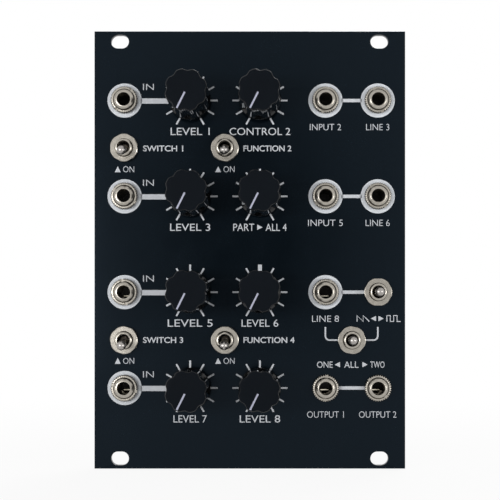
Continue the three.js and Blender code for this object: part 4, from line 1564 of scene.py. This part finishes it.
def brick(low, high):
    """A stretch of a brick along x."""
    return box((low, -brick_wide / 2, 0), (high, brick_wide / 2, brick_high), 0.05)


def brick_pieces(name, rows, depth):
    """Rows of bricks and of their tinned ends, on a board's rear face."""
    points = [(-(x + k * pitch), z, 0) for x, z, count, pitch in rows for k in range(count)]
    half, inner = brick_long / 2, brick_long / 2 - brick_end
    core = scattered(brick(-inner, inner), points, chip_black, turn=90.0)
    ends = [scattered(brick(low, high), points, tinned, turn=90.0)
            for low, high in ((-half, -inner), (inner, half))]
    place = behind(0, 0, depth)
    soldered(f"{name}_bricks", core, place, chip_black)
    soldered(f"{name}_brick_ends", mesh_of(*ends), place, tinned)
    return len(points)


total = brick_pieces("voice_board", voice_rows, voice_rear) + brick_pieces("main_board", main_rows, main_rear)
print(total, "small resistors and capacitors")

# %% [markdown]
# ## Floor and light
#
# The picture has a plain white ground and two soft lamps, one on each side, that graze the panel: the
# knobs shade each other, and the field between their two columns is the darkest. The world fills in, and
# a third lamp, above and behind, lights the boards. To the camera, and in gloss, the surroundings are
# plain white, but for the dark camera on its stand: the satin panel mirrors it as a soft tall dark patch
# in its middle. The floor keeps its real shading close to the module, so that its shadow stays, and fades
# to plain white farther out.

# %% World, floor and lamps
scene = bpy.context.scene
world_level, floor_share, floor_near, floor_far = 0.4, 0.92, 0.08, 0.3
lens_direction = Vector((-0.026, -1.0, 0.043)).normalized()
lens_half_width, lens_half_height, lens_soft = 0.08, 0.145, 0.35
world = bpy.data.worlds.new("studio")
world.use_nodes = True
scene.world = world


def in_path(tree, kind):
    """1 for rays of one kind."""
    return add(tree, "ShaderNodeLightPath").outputs[kind]


def seen_plainly(tree):
    """1 for camera, glossy and transmission rays, and 0 for the light that reaches a surface."""
    sharp = maths(tree, "MAXIMUM", in_path(tree, "Is Glossy Ray"), in_path(tree, "Is Transmission Ray"))
    return maths(tree, "MAXIMUM", in_path(tree, "Is Camera Ray"), sharp)


tree = world.node_tree
tree.nodes.clear()
soft = add(tree, "ShaderNodeBackground", {"Color": (1, 1, 1, 1), "Strength": world_level}).outputs[0]
looking = add(tree, "ShaderNodeTexCoord").outputs["Generated"]
aside = add(tree, "ShaderNodeVectorMath", {0: looking, 1: lens_direction}, operation="SUBTRACT").outputs[0]
widths = (1 / lens_half_width, 1.0, 1 / lens_half_height)
scaled = add(tree, "ShaderNodeVectorMath", {0: aside, 1: widths}, operation="MULTIPLY").outputs[0]
away = add(tree, "ShaderNodeVectorMath", {0: scaled}, operation="LENGTH").outputs["Value"]
lens = ramp(tree, away, 1 - lens_soft, 1 + lens_soft)
in_gloss = in_path(tree, "Is Glossy Ray")
mirrored, direct = maths(tree, "MULTIPLY", in_gloss, lens), maths(tree, "SUBTRACT", 1.0, in_gloss)
seen_level = maths(tree, "ADD", mirrored, direct)
plain = add(tree, "ShaderNodeBackground", {"Color": (1, 1, 1, 1), "Strength": seen_level}).outputs[0]
sky = add(tree, "ShaderNodeMixShader", {0: seen_plainly(tree), 1: soft, 2: plain}).outputs[0]
add(tree, "ShaderNodeOutputWorld", {"Surface": sky})

floor_white = bpy.data.materials.new("floor_white")
floor_white.use_nodes = True
tree = floor_white.node_tree
tree.nodes.clear()
paint = add(tree, "ShaderNodeBsdfDiffuse", {"Color": (0.86, 0.86, 0.86, 1)}).outputs[0]
glow = add(tree, "ShaderNodeEmission", {"Color": (1, 1, 1, 1), "Strength": 1.0}).outputs[0]
spot = add(tree, "ShaderNodeTexCoord").outputs["Object"]
far = add(tree, "ShaderNodeVectorMath", {0: spot}, operation="LENGTH").outputs["Value"]
share = maths(tree, "MULTIPLY", seen_plainly(tree), ramp(tree, far, floor_near, floor_far, floor_share, 1.0))
surface = add(tree, "ShaderNodeMixShader", {0: share, 1: paint, 2: glow}).outputs[0]
add(tree, "ShaderNodeOutputMaterial", {"Surface": surface})

floor_half = 3.0
floor_corners = [(x * floor_half, y * floor_half, bottom * MM)
                 for x, y in ((-1, -1), (1, -1), (1, 1), (-1, 1))]
floor_mesh = bpy.data.meshes.new("floor")
floor_mesh.from_pydata(floor_corners, [], [(0, 1, 2, 3)])
floor_mesh.materials.append(floor_white)
floor = bpy.data.objects.new("floor", floor_mesh)
scene.collection.objects.link(floor)


def lamp(name, spot, target, width, height, power):
    """A soft oblong lamp that faces a point."""
    data = bpy.data.lights.new(name, "AREA")
    data.shape = "RECTANGLE"
    data.size, data.size_y = width, height
    data.energy = power
    made = bpy.data.objects.new(name, data)
    made.location = spot
    made.rotation_euler = (Vector(target) - Vector(spot)).to_track_quat("-Z", "Y").to_euler()
    scene.collection.objects.link(made)


aim = panel_middle * MM
lamp("left", (-0.34, -0.51, 0.05), aim, 0.32, 0.14, 1.7)
lamp("right", (0.45, -0.42, 0.05), aim, 0.32, 0.14, 1.0)
lamp("back", (0.3, 0.9, 0.8), aim, 0.6, 0.6, 8.0)
print("lamps:", [light.name for light in bpy.data.lights])

# %% [markdown]
# ## Handing over
# ## Counting the pieces
# The last cell prints how many pieces were made.

# %% Piece count
print(piece_count, "pieces")
